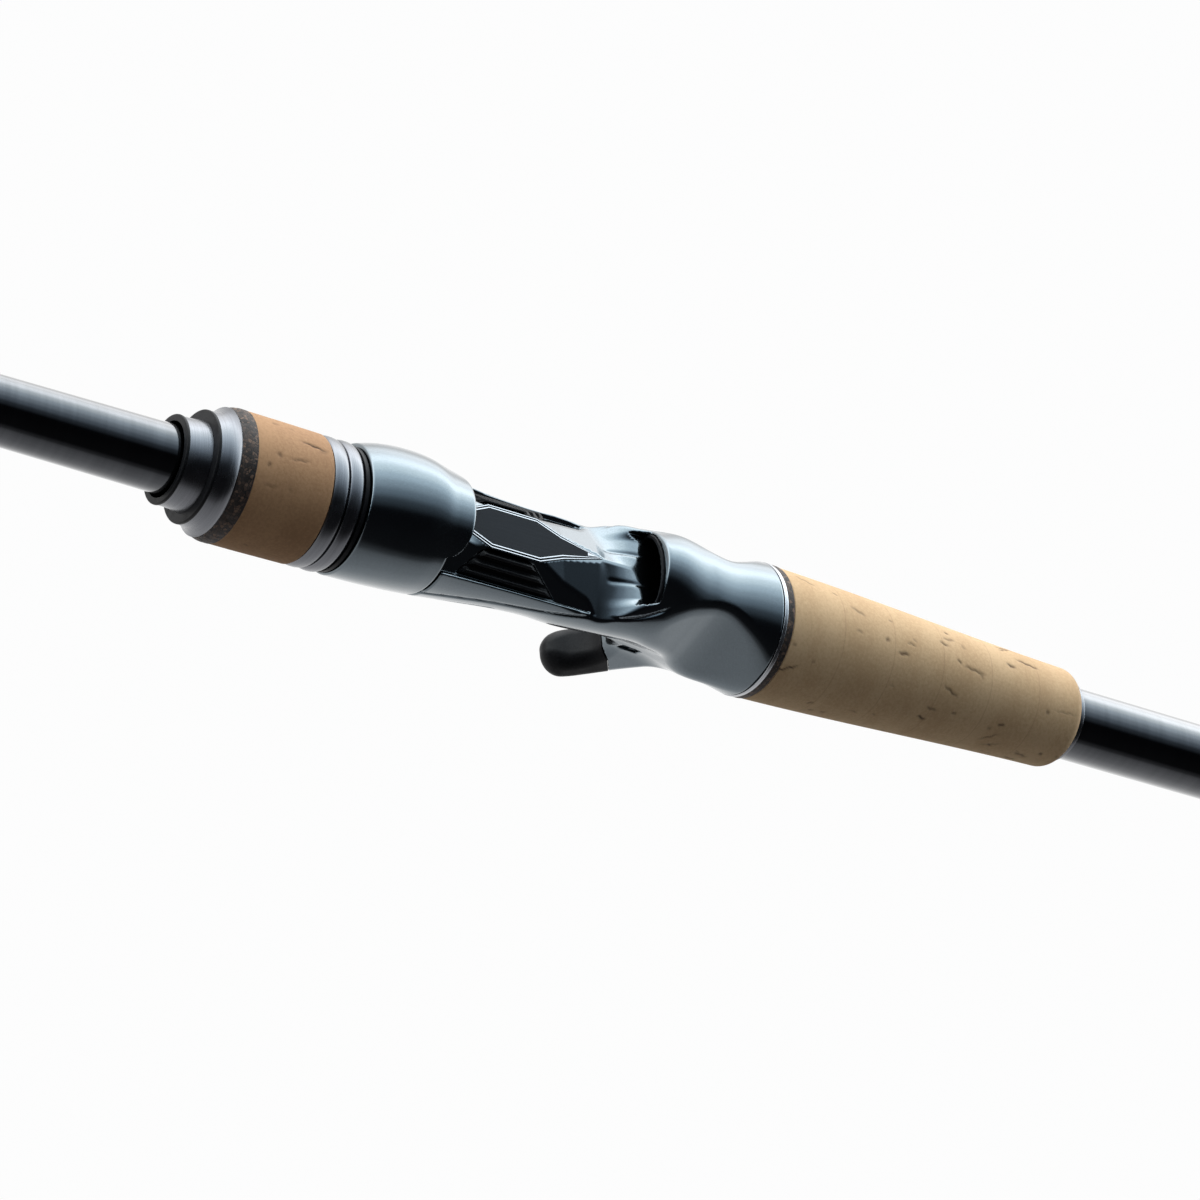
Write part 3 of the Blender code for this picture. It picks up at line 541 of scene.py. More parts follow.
# %% [markdown]
# ## Moulded shapes as fields
#
# The seat and its hood are injection mouldings: every corner has a soft radius and the trigger flows out
# of the body. Booleans on meshes leave hard seams, so these pieces are described by a field instead: a
# function that is negative inside the plastic and positive outside, roughly the distance to the surface
# in millimetres. Joining, cutting and rounding are then short formulas. Surface nets turn the field into
# quads: one point in every small cube that the surface crosses. Each point is slid onto the surface, and
# the field's slope there gives a perfect shading normal.

# %% Field tools
def join(a, b, blend):
    """Two fields as one body, their meeting line filled to about this radius."""
    share = np.clip(0.5 + 0.5 * (b - a) / blend, 0, 1)
    return b + (a - b) * share - blend * share * (1 - share)


def cut(a, b, blend):
    """Field a with b taken away, the new edge rounded."""
    return -join(-a, b, blend)


def join_max(a, b, blend):
    """What two fields share, the edge rounded."""
    return -join(-a, -b, blend)


def slope(field, points, reach=0.04):
    """The field's gradient at points, by central differences."""
    out = np.zeros_like(points)
    for axis in range(3):
        step = np.zeros(3)
        step[axis] = reach
        out[:, axis] = (field(*(points + step).T) - field(*(points - step).T)) / (2 * reach)
    return out


def surface_net(field, low, high, step):
    """Points, quads and normals of the surface where the field is zero, inside a box."""
    axes = [np.arange(a, b + step, step) for a, b in zip(low, high)]
    value = field(*np.meshgrid(*axes, indexing="ij", sparse=True))
    value = np.where(np.abs(value) < AXIS_TOLERANCE, AXIS_TOLERANCE, value)
    inside = value < 0
    cells = np.array(value.shape) - 1
    count = np.zeros(cells, np.int8)
    for i, j, k in np.ndindex(2, 2, 2):
        count += inside[i:i + cells[0], j:j + cells[1], k:k + cells[2]]
    mixed_cells = np.argwhere((count > 0) & (count < 8))
    index = np.full(cells, -1)
    index[tuple(mixed_cells.T)] = np.arange(len(mixed_cells))
    total, hits = np.zeros((len(mixed_cells), 3)), np.zeros(len(mixed_cells))
    for axis in range(3):
        for corner in np.ndindex(2, 2, 2):
            if corner[axis]:
                continue
            first = mixed_cells + corner
            second = first.copy()
            second[:, axis] += 1
            a, b = value[tuple(first.T)], value[tuple(second.T)]
            crossed = (a < 0) != (b < 0)
            t = np.where(crossed, a / np.where(crossed, a - b, 1), 0)
            spot = first.astype(float)
            spot[:, axis] += t
            total += spot * crossed[:, None]
            hits += crossed
    points = total / hits[:, None] * step + np.array(low)
    start = points.copy()
    for _ in range(4):
        grad = slope(field, points)
        size = np.maximum((grad * grad).sum(1), 0.05)
        move = -grad * (field(*points.T) / size)[:, None]
        points = points + np.clip(move, -0.4 * step, 0.4 * step)
    points = start + np.clip(points - start, -step, step)
    quads = []
    for axis in range(3):
        u, v = (axis + 1) % 3, (axis + 2) % 3
        size = list(cells + 1)
        size[axis] -= 1
        lower = inside[tuple(slice(0, s) for s in size)]
        shift = [slice(0, s) for s in size]
        shift[axis] = slice(1, size[axis] + 1)
        upper = inside[tuple(shift)]
        for mask, turned_round in ((lower & ~upper, False), (~lower & upper, True)):
            at = np.argwhere(mask)
            at = at[(at[:, u] > 0) & (at[:, v] > 0) & (at[:, u] < cells[u]) & (at[:, v] < cells[v])]
            ring = []
            for du, dv in ((1, 1), (0, 1), (0, 0), (1, 0)):
                corner = at.copy()
                corner[:, u] -= du
                corner[:, v] -= dv
                ring.append(index[tuple(corner.T)])
            quads.append(np.stack(ring[::-1] if turned_round else ring, 1))
    normal = slope(field, points)
    normal /= np.maximum(np.linalg.norm(normal, axis=1, keepdims=True), 1e-6)
    return points, np.concatenate(quads), normal


def moulded(name, field, low, high, step, finish, body, stands_for=(), slot=None):
    """A piece from a field, with the field's own normals."""
    points, quads, normal = surface_net(field, low, high, step)
    made = piece(name, points, quads.tolist(), finish, body, stands_for, slot, smooth=0)
    made.data.normals_split_custom_set_from_vertices([tuple(n) for n in normal])
    print(f"{name}: {len(points)} points, {len(quads)} quads")
    return made


# %% [markdown]
# ## The seat's skin
#
# Hood and seat share one outer skin, a tube whose radius changes along the rod and round it. Three lines
# set it: along the top, on the shoulders and underneath. Between them it eases smoothly.

# %% Skin
TOP_LINE = (
    (0, 0.0), (5, 1.6), (11, 2.5), (17, 2.4), (20, 1.7), (24.2, 0.9), (40, 0.5), (57, 1.0), (65, 2.1),
    (72, 2.8), (80, 1.7), (88, 0.7), (97.2, 1.15),
)
SHOULDER_LINE = (
    (0, 0.0), (5, 1.4), (10, 2.0), (16, 1.8), (20, 0.9), (24.2, 0.1), (30, -0.6), (42, -1.1), (53, -0.8),
    (62, 0.0), (69, 0.7), (74, 1.8), (81, 1.3), (88, 0.6), (97.2, 1.15),
)
UNDER_LINE = (
    (0, 0.0), (8, -0.1), (20, -0.8), (30, -1.8), (38, -2.6), (46, -3.0), (53, -2.8), (62, -3.3), (71, -4.0),
    (78, -3.0), (85, -0.3), (92.2, 0.3), (97.2, 1.15),
)
SHOULDER_AT, UNDER_AT = 50.0, 125.0


def line_through(x, stations):
    """A smooth line through (x, value) stations."""
    xs, ys = np.array(stations, float).T
    slopes = np.gradient(ys, xs)
    x = np.clip(x, xs[0], xs[-1])
    k = np.clip(np.searchsorted(xs, x) - 1, 0, len(xs) - 2)
    step = xs[k + 1] - xs[k]
    t = (x - xs[k]) / step
    return (
        (2 * t**3 - 3 * t**2 + 1) * ys[k] + (t**3 - 2 * t**2 + t) * slopes[k] * step
        + (-2 * t**3 + 3 * t**2) * ys[k + 1] + (t**3 - t**2) * slopes[k + 1] * step
    )


def eased(value, low, high):
    t = np.clip((value - low) / (high - low), 0, 1)
    return t * t * (3 - 2 * t)


def skin(x, angle):
    """Outer radius at x, at an angle in degrees from +Z."""
    angle = np.abs(angle)
    top, shoulder, under = (NUT_R + line_through(x, line) for line in (TOP_LINE, SHOULDER_LINE, UNDER_LINE))
    upper = top + (shoulder - top) * eased(angle, 0, SHOULDER_AT)
    return upper + (under - upper) * eased(angle, SHOULDER_AT, UNDER_AT)


def polar(y, z):
    """Distance from the axis, and the angle from +Z in degrees."""
    return np.hypot(y, z), np.degrees(np.arctan2(y, z))


print("skin radius at the hood's crest:", round(float(skin(11.0, 0.0)), 2), "mm")

# %% [markdown]
# ### Sliding hood
#
# The hood is a ring with a swollen top. Its rear edge reaches over the deck like a visor, and the
# pocket under it takes a reel's front foot. Subtracting the barrel's bore, the pocket and a curved mouth
# from the skin gives it. A key on the inside keeps it from turning.

# %% Hood field
HOOD_MOUTH = (HOOD_SIDE, DECK_Z + GAP + LIP_RISE)
KEY_HALF, KEY_HEIGHT = 1.0, 0.9


def arch(y, z, roof, half):
    """A D shape: flat at the deck, a half ellipse above it."""
    tall = roof - DECK_Z
    lump = (np.sqrt((y / half) ** 2 + (np.maximum(z - DECK_Z, 0) / tall) ** 2) - 1) * np.minimum(half, tall)
    return np.maximum(lump, DECK_Z - z)


def hood_field(x, y, z):
    r, angle = polar(y, z)
    shell = r - skin(x, angle)
    shell = cut(shell, x - HOOD_FRONT, 0.5)
    mouth_top = HOOD_SIDE + 4.2 * np.sqrt(np.clip(1 - ((HOOD_MOUTH[1] - z) / LIP_RISE) ** 2, 0, 1))
    rear = np.where(z > HOOD_MOUTH[1], VISOR_END, np.where(z > DECK_Z + GAP, mouth_top, HOOD_SIDE))
    shell = cut(shell, rear - x, 0.9)
    shell = cut(shell, r - BARREL_R - GAP, 0.3)
    roof = skin(VISOR_END, 0.0) - 1.35 - 2.0 * eased(-x, -16.5, -9.2)
    pocket = np.maximum(arch(y, z, roof, POCKET_HALF - 0.8 * eased(-x, -16.5, -9.2)), 9.2 - x)
    shell = cut(shell, pocket, 0.5)
    key = np.maximum(np.maximum(np.abs(y) - KEY_HALF, r - BARREL_R - GAP - 0.5), BARREL_R - KEY_HEIGHT - r)
    key = np.maximum(np.maximum(key, z), np.maximum(HOOD_FRONT + 1 - x, x - HOOD_SIDE + 1))
    return np.minimum(shell, key)


hood = moulded(
    "front_hood_shell", hood_field, (0.3, -16.5, -14.5), (25.5, 16.5, 17), 0.3, seat_gloss, "hood",
    ("front_hood",), "seat_gloss",
)

# %% [markdown]
# ### Trigger outline
#
# The trigger hangs from the seat so that one finger can hook round it. Its side view is a closed smooth
# line. The distance to that line, worked out once on a flat grid, is what makes rounding it into a solid
# blade cheap.

# %% Trigger outline
TRIGGER_POINTS = (
    (92, -7.6), (92, -11.8), (87, -14.6), (83, -17.2), (78.5, -20.6), (74.3, -24.2), (71.4, -26.6),
    (69.0, -27.9), (66.2, -27.9), (64.4, -26.4), (64.0, -24.2), (65.4, -22.4), (68.0, -20.9), (70.5, -18.2),
    (71.8, -15.0), (71.5, -12.0), (69.3, -9.5), (68, -7.6),
)
TRIGGER_HALF, TRIGGER_ROUND = 4.7, 2.7
PAD_CORNER, PAD_HEEL = (72.6, -14.6), (78.5, -22.6)


def smooth_loop(points, per_side=10):
    """A closed Catmull-Rom line through points."""
    p = np.array(points, float)
    out = []
    for k in range(len(p)):
        a, b, c, d = p[k - 1], p[k], p[(k + 1) % len(p)], p[(k + 2) % len(p)]
        for t in np.linspace(0, 1, per_side, endpoint=False):
            square, cube = 2 * a - 5 * b + 4 * c - d, 3 * b - a - 3 * c + d
            out.append(0.5 * (2 * b + (c - a) * t + square * t**2 + cube * t**3))
    return np.array(out)


def loop_distance(points, x, z):
    """Signed distance to a closed line, negative inside it."""
    nearest = np.full(x.shape, np.inf)
    inside = np.zeros(x.shape, bool)
    for a, b in zip(points, np.roll(points, -1, 0)):
        run, rise = b - a
        t = np.clip(((x - a[0]) * run + (z - a[1]) * rise) / (run * run + rise * rise), 0, 1)
        nearest = np.minimum(nearest, np.hypot(x - a[0] - t * run, z - a[1] - t * rise))
        if a[1] != b[1]:
            crosses = ((a[1] > z) != (b[1] > z)) & (x < (b[0] - a[0]) * (z - a[1]) / (b[1] - a[1]) + a[0])
            inside ^= crosses
    return np.where(inside, -nearest, nearest)


class FlatTable:
    """A function of x and z, looked up with straight-line blending from a fine grid."""

    def __init__(self, func, low, high, step):
        self.low, self.step = np.array(low, float), step
        self.count = [int((b - a) / step) + 2 for a, b in zip(low, high)]
        xs = self.low[0] + np.arange(self.count[0])[:, None] * step
        zs = self.low[1] + np.arange(self.count[1])[None, :] * step
        self.table = func(*np.broadcast_arrays(xs, zs))

    def __call__(self, x, z):
        u = np.clip((x - self.low[0]) / self.step, 0, self.count[0] - 1.001)
        v = np.clip((z - self.low[1]) / self.step, 0, self.count[1] - 1.001)
        i, j = np.floor(u).astype(int), np.floor(v).astype(int)
        s, t = u - i, v - j
        a, b = self.table[i, j], self.table[i + 1, j]
        c, d = self.table[i, j + 1], self.table[i + 1, j + 1]
        return (a * (1 - s) + b * s) * (1 - t) + (c * (1 - s) + d * s) * t


trigger_loop = smooth_loop(TRIGGER_POINTS)
trigger_flat = FlatTable(lambda x, z: loop_distance(trigger_loop, x, z), (50, -32), (100, 0), 0.12)


def trigger_blade(x, y, z, shrink=0.0):
    """The trigger as a blade with well-rounded rims."""
    half = TRIGGER_HALF - 1.7 * (1 - eased(x, 62.8, 68.6)) - shrink
    flat = trigger_flat(x, z) + TRIGGER_ROUND + shrink
    side = np.abs(y) - half + TRIGGER_ROUND
    outside = np.hypot(np.maximum(flat, 0), np.maximum(side, 0))
    return outside + np.minimum(np.maximum(flat, side), 0) - TRIGGER_ROUND


def pad_side(x, z, gap):
    """Negative in the part of the trigger that the soft pad covers."""
    run, drop = PAD_HEEL[0] - PAD_CORNER[0], PAD_HEEL[1] - PAD_CORNER[1]
    length = math.hypot(run, drop)
    slanted = -((x - PAD_CORNER[0]) * drop - (z - PAD_CORNER[1]) * run) / length + gap
    return join_max(slanted, z - PAD_CORNER[1] + gap, 2.5)


print("trigger drops to", round(float(trigger_loop[:, 1].min()), 1), "mm")

# %% [markdown]
# ### Reel seat body
#
# The seat starts as the same skin. The trigger is joined to it with a wide fillet, then the flat deck,
# the pocket of the fixed hood, the slanted recesses in both flanks, the blank's bore and the room for
# the soft pad are cut away. Last come the fine lines that a mould leaves as styling: a long crease from
# the hood to the lip, a short slot below it and a small window on the trigger's root.

# %% Seat field
FLANK_FLOOR, FLANK_REACH, PLATFORM_HALF, FLANK_END, FLANK_SLANT = 8.3, 4.2, 5.6, 46.2, 1.7
FLANK_START, FRONT_SLANT = 24.4, 1.0
CHAMFER_OUT, CHAMFER_REACH = 9.35, 4.6
CREASE = ((19, 100), (32, 94.5), (46, 86), (57, 70), (66, 54), (70, 42), (71, 38))
SLOT = ((22, 126), (30, 120), (39, 114))


def groove(x, r, angle, stations, start, stop, half, depth):
    """Depth of a fine groove along (x, angle) stations."""
    away = np.radians(np.abs(np.abs(angle) - line_through(x, stations))) * r
    lean = np.clip((x - start) / 2, 0, 1) * np.clip((stop - x) / 2, 0, 1)
    return depth * lean * np.exp(-((away / half) ** 2))


PLATE_OUTLINE = (
    (25.6, -1.7), (30.6, -4.1), (41.5, -4.1), (47.0, -1.85), (55.5, 0.0),
    (47.0, 1.85), (41.5, 4.1), (30.6, 4.1),
    (25.6, 1.7),
)
plate_flat = FlatTable(lambda x, y: loop_distance(np.array(PLATE_OUTLINE), x, y), (10, -17), (72, 17), 0.15)


def deck_height(x, y):
    """Height the deck cut leaves: flat round the plate, a low roof behind it, up to the hood's lip."""
    along = np.clip((x - DECK_END) / (LIP_X - DECK_END), 0, 1)
    ridge = np.where(x > 52, np.abs(y) - 0.3, 50.0)
    beside = np.maximum(join(plate_flat(x, y) - 1.15, ridge, 1.0), 0)
    fall = 0.5 * eased(x, 24, 30) * (1 - eased(x, 57, 66))
    rise = LIP_RISE * (1 - np.sqrt(1 - along**2 * 0.999)) * eased(np.abs(y), 6.8, 9.0)
    saddle = np.exp(-(((np.abs(y) - 3.5) / 0.5) ** 2)) * eased(x, 58, 60) * (1 - eased(x, 65, 67.5))
    return DECK_Z + rise - fall * beside - 0.2 * saddle


POCKET_FRONT = 62.0


def fixed_pocket(x, y, z, shrink=0.0):
    """Room for the reel's rear foot inside the fixed hood."""
    narrowing = eased(x, 70, 80)
    roof = skin(LIP_X, 0.0) - 1.7 - 2.6 * narrowing - shrink
    inside = arch(y, z, roof, POCKET_HALF - 2.4 * narrowing - shrink)
    return np.maximum(inside, np.maximum(POCKET_FRONT - x, x - 80 + shrink))


def recess_front(z):
    """Where a recess begins; the collar behind the hood is slanted too."""
    return FLANK_START + FRONT_SLANT * (z - 3.0)


def flank_cut(x, y, z):
    """The slanted recess in each flank."""
    side = np.abs(y)
    out, across = (side + z) * math.sqrt(0.5), (side - z) * math.sqrt(0.5)
    end = (x - FLANK_END - FLANK_SLANT * (DECK_Z / 2 - z)) / math.hypot(1, FLANK_SLANT)
    room = np.maximum(np.maximum(FLANK_FLOOR - out, across - FLANK_REACH), PLATFORM_HALF - side)
    start = (recess_front(z) - x) / math.hypot(1, FRONT_SLANT)
    return np.maximum(np.maximum(room, end), start)


def chamfer_cut(x, y, z):
    """The slanted shoulder beside the deck, which fades out before the fixed hood."""
    side = np.abs(y)
    out, across = (side + z) * math.sqrt(0.5), (side - z) * math.sqrt(0.5)
    height = CHAMFER_OUT + 6.5 * eased(x, 54, 69)
    return np.maximum(np.maximum(height - out, across - CHAMFER_REACH), 12 - x)


WAIST_LEAN = math.radians(10.5)
WAIST_LINE = (
    (60, 17.0), (66, 14.0), (70, 12.6), (74, 11.4), (78.2, 10.1), (82.4, 9.0),
    (86, 8.9), (90, 10.2), (94, 12.3),
    (97.5, 14.6), (99, 15.5),
)


def waist(x, y, z):
    """Flat leaning flanks behind the fixed hood; the line gives their distance from the axis."""
    return np.abs(y) * math.cos(WAIST_LEAN) + z * math.sin(WAIST_LEAN) - line_through(x, WAIST_LINE)


def seat_field(x, y, z):
    r, angle = polar(y, z)
    shell = join_max(r - skin(x, angle), waist(x, y, z), 1.6)
    shell = shell + groove(x, r, angle, CREASE, 19, 71, 0.42, 0.4)
    shell = shell + groove(x, r, angle, SLOT, 22, 39, 0.5, 0.45)
    shell = join(shell, trigger_blade(x, y, z), 5.0)
    window = np.maximum(np.abs(x - 75.2) - 2.2, np.abs(z + 10.4) - 1.0)
    shell = cut(shell, np.maximum(window, -shell - 0.7), 0.25)
    shell = cut(shell, x - BODY_START, 0.5)
    shell = cut(shell, SEAT_END - x, 0.5)
    deck_room = np.maximum(deck_height(x, y) - z, x - LIP_X)
    deck_room = np.minimum(deck_room, fixed_pocket(x, y, z))
    shell = cut(shell, join(deck_room, chamfer_cut(x, y, z), 0.3), 0.7)
    shell = cut(shell, flank_cut(x, y, z), 0.4)
    shell = cut(shell, r - BORE_R, 0.3)
    return cut(shell, pad_side(x, z, 0.0), 0.15)


seat = moulded(
    "reel_seat_body", seat_field, (19.6, -16.4, -24), (98, 16.4, 17.6), 0.34, seat_gloss, "rod",
    ("reel_seat",), "seat_gloss",
)


# %% [markdown]
# ### Soft trigger pad
#
# The pad is the same blade, kept where the seat was cut away, so the two meet along one fine seam.

# %% Trigger pad
def pad_field(x, y, z):
    return join_max(trigger_blade(x, y, z) - 0.1, pad_side(x, z, 0.04), 0.3)


moulded(
    "trigger_pad_soft", pad_field, (61.5, -5.8, -29.4), (80, 5.8, -13.5), 0.22, soft_black, "rod",
    ("trigger_pad",), "soft_black",
)

# %% [markdown]
# ### Hood lining, painted shade
#
# Inside the fixed hood a thin soft black lining is painted shade: a dark sheet that follows the pocket where
# the hood's own shadow falls, starting at the shadow line under the lip. It is a thin arch, closed at the
# back.

# %% Lining
# The lining's front edge sits on the pocket's shadow line; its black is painted shade.
SHADE_LINER_FRONT, SHADE_LINER_THICK = 67.6, 0.8


def shade_liner_field(x, y, z):
    shell = cut(fixed_pocket(x, y, z, 0.05), fixed_pocket(x, y, z, 0.05 + SHADE_LINER_THICK), 0.2)
    return np.maximum(shell, SHADE_LINER_FRONT - x)


# A black sheet that stands for the shade inside the fixed hood.
moulded(
    "rear_hood_shade_lining", shade_liner_field, (66.8, -9.6, 7.6), (82.4, 9.6, 15), 0.24, soft_black, "rod",
    ("rear_hood_liner",), "soft_black",
)

# %% [markdown]
# ### Threaded barrel
#
# In front of the deck the seat narrows to a barrel with a screw thread. The locking nut inside the fore
# grip runs on it and pushes the hood. A thread is a saw shape that climbs one pitch for each turn, so the
# radius depends on the place along the rod minus the angle. The top is planed flat for the reel foot, and
# a keyway runs underneath.

# %% Barrel
BARREL_FRONT = -26.2
THREAD_PITCH, THREAD_DEPTH, THREAD_END = 1.25, 0.42, 7.0
SIDES_BARREL, ROW_STEP = 144, 0.14


def barrel_ring(x):
    angles = np.linspace(-180, 180, SIDES_BARREL, endpoint=False)
    phase = (x / THREAD_PITCH - angles / 360) % 1
    tooth = 1 - np.abs(2 * phase - 1)
    ramp = eased(x, BARREL_FRONT, BARREL_FRONT + 1.5) * (1 - eased(x, THREAD_END - 1.5, THREAD_END))
    lead_in = 0.4 * (1 - eased(x, BARREL_FRONT, BARREL_FRONT + 0.5))
    r = BARREL_R - THREAD_DEPTH * ramp * (1 - eased(tooth, 0.15, 0.75)) - lead_in
    rad = np.radians(angles)
    if x > -6.2:
        with np.errstate(divide="ignore"):
            r = np.where(np.abs(angles) < 60, np.minimum(r, DECK_Z / np.cos(rad)), r)
    y = r * np.sin(rad)
    r = np.where((np.abs(y) < 1.3) & (np.abs(angles) > 120), np.minimum(r, 8.3), r)
    return np.stack([np.full_like(r, x), r * np.sin(rad), r * np.cos(rad)], 1)


def closed_skin(rings):
    """A skin whose last ring joins its first, so that it needs no caps."""
    points, faces = skinned(rings, close_ends=False)
    count, last = len(rings[0]), (len(rings) - 1) * len(rings[0])
    faces += [(last + k, last + (k + 1) % count, (k + 1) % count, k) for k in range(count)]
    return points, faces


outer = [barrel_ring(x) for x in np.arange(BARREL_FRONT, BODY_START + 1.2, ROW_STEP)]
inner = [
    ring * [1, 0, 0] + ring / np.hypot(ring[:, 1], ring[:, 2])[:, None] * [0, BORE_R, BORE_R]
    for ring in (outer[-1], outer[0])
]
piece("threaded_barrel", *closed_skin(outer + inner), seat_gloss, "rod", (), "seat_gloss", smooth=50)
print("barrel rows:", len(outer))

# %% [markdown]
# ### Ribbed flank inserts
#
# A soft ribbed strip lies in each recess for the palm to grip. Its section has three rounded ribs, and
# pulling that section along the rod gives the strip; its rear end is slanted like the recess.

# %% Flank inserts
RIB_CENTRES, RIB_HALF, RIB_TALL = (-0.75, 1.35, 3.3), 0.5, 0.95


def insert_section(side):
    """Closed section of the insert as (y, z) points."""
    low, base = FLANK_FLOOR - 0.05, FLANK_FLOOR + 1.0
    across = np.linspace(-2.7, FLANK_REACH - 0.06, 90)
    bumps = sum(np.exp(-(((across - c) / RIB_HALF) ** 4)) for c in RIB_CENTRES)
    top = base + RIB_TALL * np.clip(bumps, 0, 1)
    line = [(h, w) for h, w in zip(top, across)] + [(low, across[-1]), (low, across[0])]
    half = math.sqrt(0.5)
    pairs = [(side * max((h + w) * half, PLATFORM_HALF + 0.04), (h - w) * half) for h, w in line]
    return pairs[::side]


def flank_insert(name, side, stands_for):
    section = insert_section(side)
    rings = []
    for share, sink in ((0.0, 0.0), (0.5, 0.0), (0.985, 0.0), (1.0, 0.12)):
        ring = []
        for y, z in section:
            start, end = recess_front(z) + 0.05, FLANK_END - 0.05 + FLANK_SLANT * (DECK_Z / 2 - z)
            ring.append((start + share * (end - start), y * (1 - 0.01 * sink), z * (1 - 0.01 * sink)))
        rings.append(ring)
    piece(name, *skinned(rings), soft_black, "rod", (stands_for,), "soft_black", smooth=50)


flank_insert("flank_insert_left", 1, "side_insert_left")
flank_insert("flank_insert_right", -1, "side_insert_right")

# %% [markdown]
# ### Badge plate and its frame
#
# A six-sided plate with an arrow-like tail is let into the deck inside a bright double frame. Both come
# from one outline: shrinking or growing it by a little gives every edge, so the frame's grooves stay
# parallel to the plate.

# %% Plate
def offset(outline, distance):
    """An outline grown by a distance, its corners kept sharp."""
    p = np.array(outline, float)
    ahead, behind = np.roll(p, -1, 0) - p, p - np.roll(p, 1, 0)
    n1 = np.stack([ahead[:, 1], -ahead[:, 0]], 1) / np.linalg.norm(ahead, axis=1, keepdims=True)
    n2 = np.stack([behind[:, 1], -behind[:, 0]], 1) / np.linalg.norm(behind, axis=1, keepdims=True)
    mean = n1 + n2
    mean /= np.maximum((mean * n1).sum(1, keepdims=True), 0.35)
    return p + mean * distance


def raised(outline, steps):
    """Rings of an outline, one for each (growth, height) step."""
    return [np.column_stack([offset(outline, grow), np.full(len(outline), height)]) for grow, height in steps]


plate_top = DECK_Z + 0.26
plate_steps = [(0.12, DECK_Z - 0.5), (0.12, plate_top - 0.12), (0.0, plate_top)]
piece("badge_plate_enamel", *skinned(raised(PLATE_OUTLINE, plate_steps)), badge_black, "rod",
      ("badge_plate",), "badge_black", smooth=20)

frame_steps = [(0.1, DECK_Z - 0.5), (0.1, DECK_Z + 0.1), (1.1, DECK_Z + 0.04), (1.1, DECK_Z - 0.5)]
piece("badge_frame_bed", *closed_skin(raised(PLATE_OUTLINE, frame_steps)), badge_black, "rod",
      ("badge_frame",), "badge_black", smooth=20)
for label, near, far, height in (("inner", 0.12, 0.34, 0.3), ("outer", 0.72, 0.9, 0.2)):
    line_steps = [(near, DECK_Z - 0.1), (near, DECK_Z + height), (far, DECK_Z + height), (far, DECK_Z - 0.1)]
    piece(f"badge_frame_{label}", *closed_skin(raised(PLATE_OUTLINE, line_steps)), rim_metal, "rod",
          (), "satin_metal", smooth=20)

tip_outline = [(53.2, -0.4), (55.4, 0.0), (53.2, 0.4)]
tip_steps = [(0.0, DECK_Z), (0.0, plate_top + 0.06), (-0.1, plate_top + 0.14)]
piece("badge_arrow_tip", *skinned(raised(tip_outline, tip_steps)), rim_metal, "rod",
      (), "satin_metal", smooth=20)

# %% [markdown]
# ## The turned stack in front
#
# Everything from the small check ring to the double-ridged lock ring is glued together and turns with the
# fore grip. The check rings are satin aluminium with a black face towards the tip; their outlines are
# hollow curves, which bend the reflections of the studio.

# %% Check rings
def hollow(front, back, sag, count=9):
    """Points of a hollow curve from front to back, sagging inwards."""
    t = np.linspace(0, 1, count)
    x = front[0] + (back[0] - front[0]) * t
    r = front[1] + (back[1] - front[1]) * t - sag * np.sin(math.pi * t)
    return [(a, b) for a, b in zip(x, r)]


SPIN_R = 7.5
small_side = hollow((-35.9, 8.72), (-31.1, 9.15), 0.16)
profile = [(-31.1, SPIN_R), (-35.9, SPIN_R)] + small_side
turned("check_ring_small_satin", profile, satin_metal, "nut", ("check_ring_small",), "satin_metal")
face = rounded([(-36.4, SPIN_R), (-36.4, 8.85), (-35.7, 8.85), (-35.7, SPIN_R)], (0.1, 0.3, 0.25, 0))
turned("check_face_small_black", face, soft_black, "nut", ("check_face_small",), "soft_black")

flare = hollow((-30.5, 11.1), (-28.3, 11.45), 0.05, 6) + hollow((-28.0, 11.7), (-27.15, 12.5), 0.08, 6)
profile = [(-26.75, SPIN_R), (-30.5, SPIN_R)] + flare + rounded([(-27.0, 12.72), (-26.75, 12.6)], 0)
turned("check_ring_large_satin", profile, satin_metal, "nut", ("check_ring_large",), "satin_metal")
face = rounded([(-31.05, SPIN_R), (-31.05, 11.2), (-30.3, 11.2), (-30.3, SPIN_R)], (0.1, 0.32, 0.25, 0))
turned("check_face_large_black", face, soft_black, "nut", ("check_face_large",), "soft_black")

# %% [markdown]
# ### Lock ring
#
# Two rounded ridges with a groove between them give the fingers a hold. Half circles joined by a small
# valley make the profile.

# %% Lock ring
def ridge(middle, half, height, count=13):
    turn = np.linspace(math.pi, 0, count)
    return [
        (middle + half * math.cos(a), height[0] + (height[1] - height[0]) * math.sin(a) ** 0.55)
        for a in turn
    ]


ridges = ridge(-5.25, 1.66, (12.1, 12.98)) + ridge(-1.9, 1.5, (12.1, 13.0))
lock = [(-7.0, CORK_IN), (-7.0, 12.4)] + ridges + [(-0.3, 12.2), (-0.3, CORK_IN)]
turned("lock_ring_ridged", lock, satin_metal, "nut", ("lock_ring",), "satin_metal", smooth=50)

insert = rounded([(-26.6, INSERT_R), (-26.6, 11.4), (-0.3, 11.4), (-0.3, INSERT_R)], 0.25)
turned("nut_insert_alloy", insert, bright_alloy, "nut", ("nut_insert",), "bright_alloy")
washer = rounded([(0.0, INSERT_R), (0.0, 12.6), (0.9, 12.6), (0.9, INSERT_R)], 0.12)
turned("thrust_washer_black", washer, soft_black, "hood", ("thrust_washer",), "soft_black")

# %% [markdown]
# ### Cork grips
#
# A cork grip is glued up from discs, turned and sanded. Its pits and creases are real hollows, so they are
# cut into the mesh: each is a small long dent at a random place, mostly lying along the rod. The same
# dents are written into an attribute, which the finish reads to darken them.

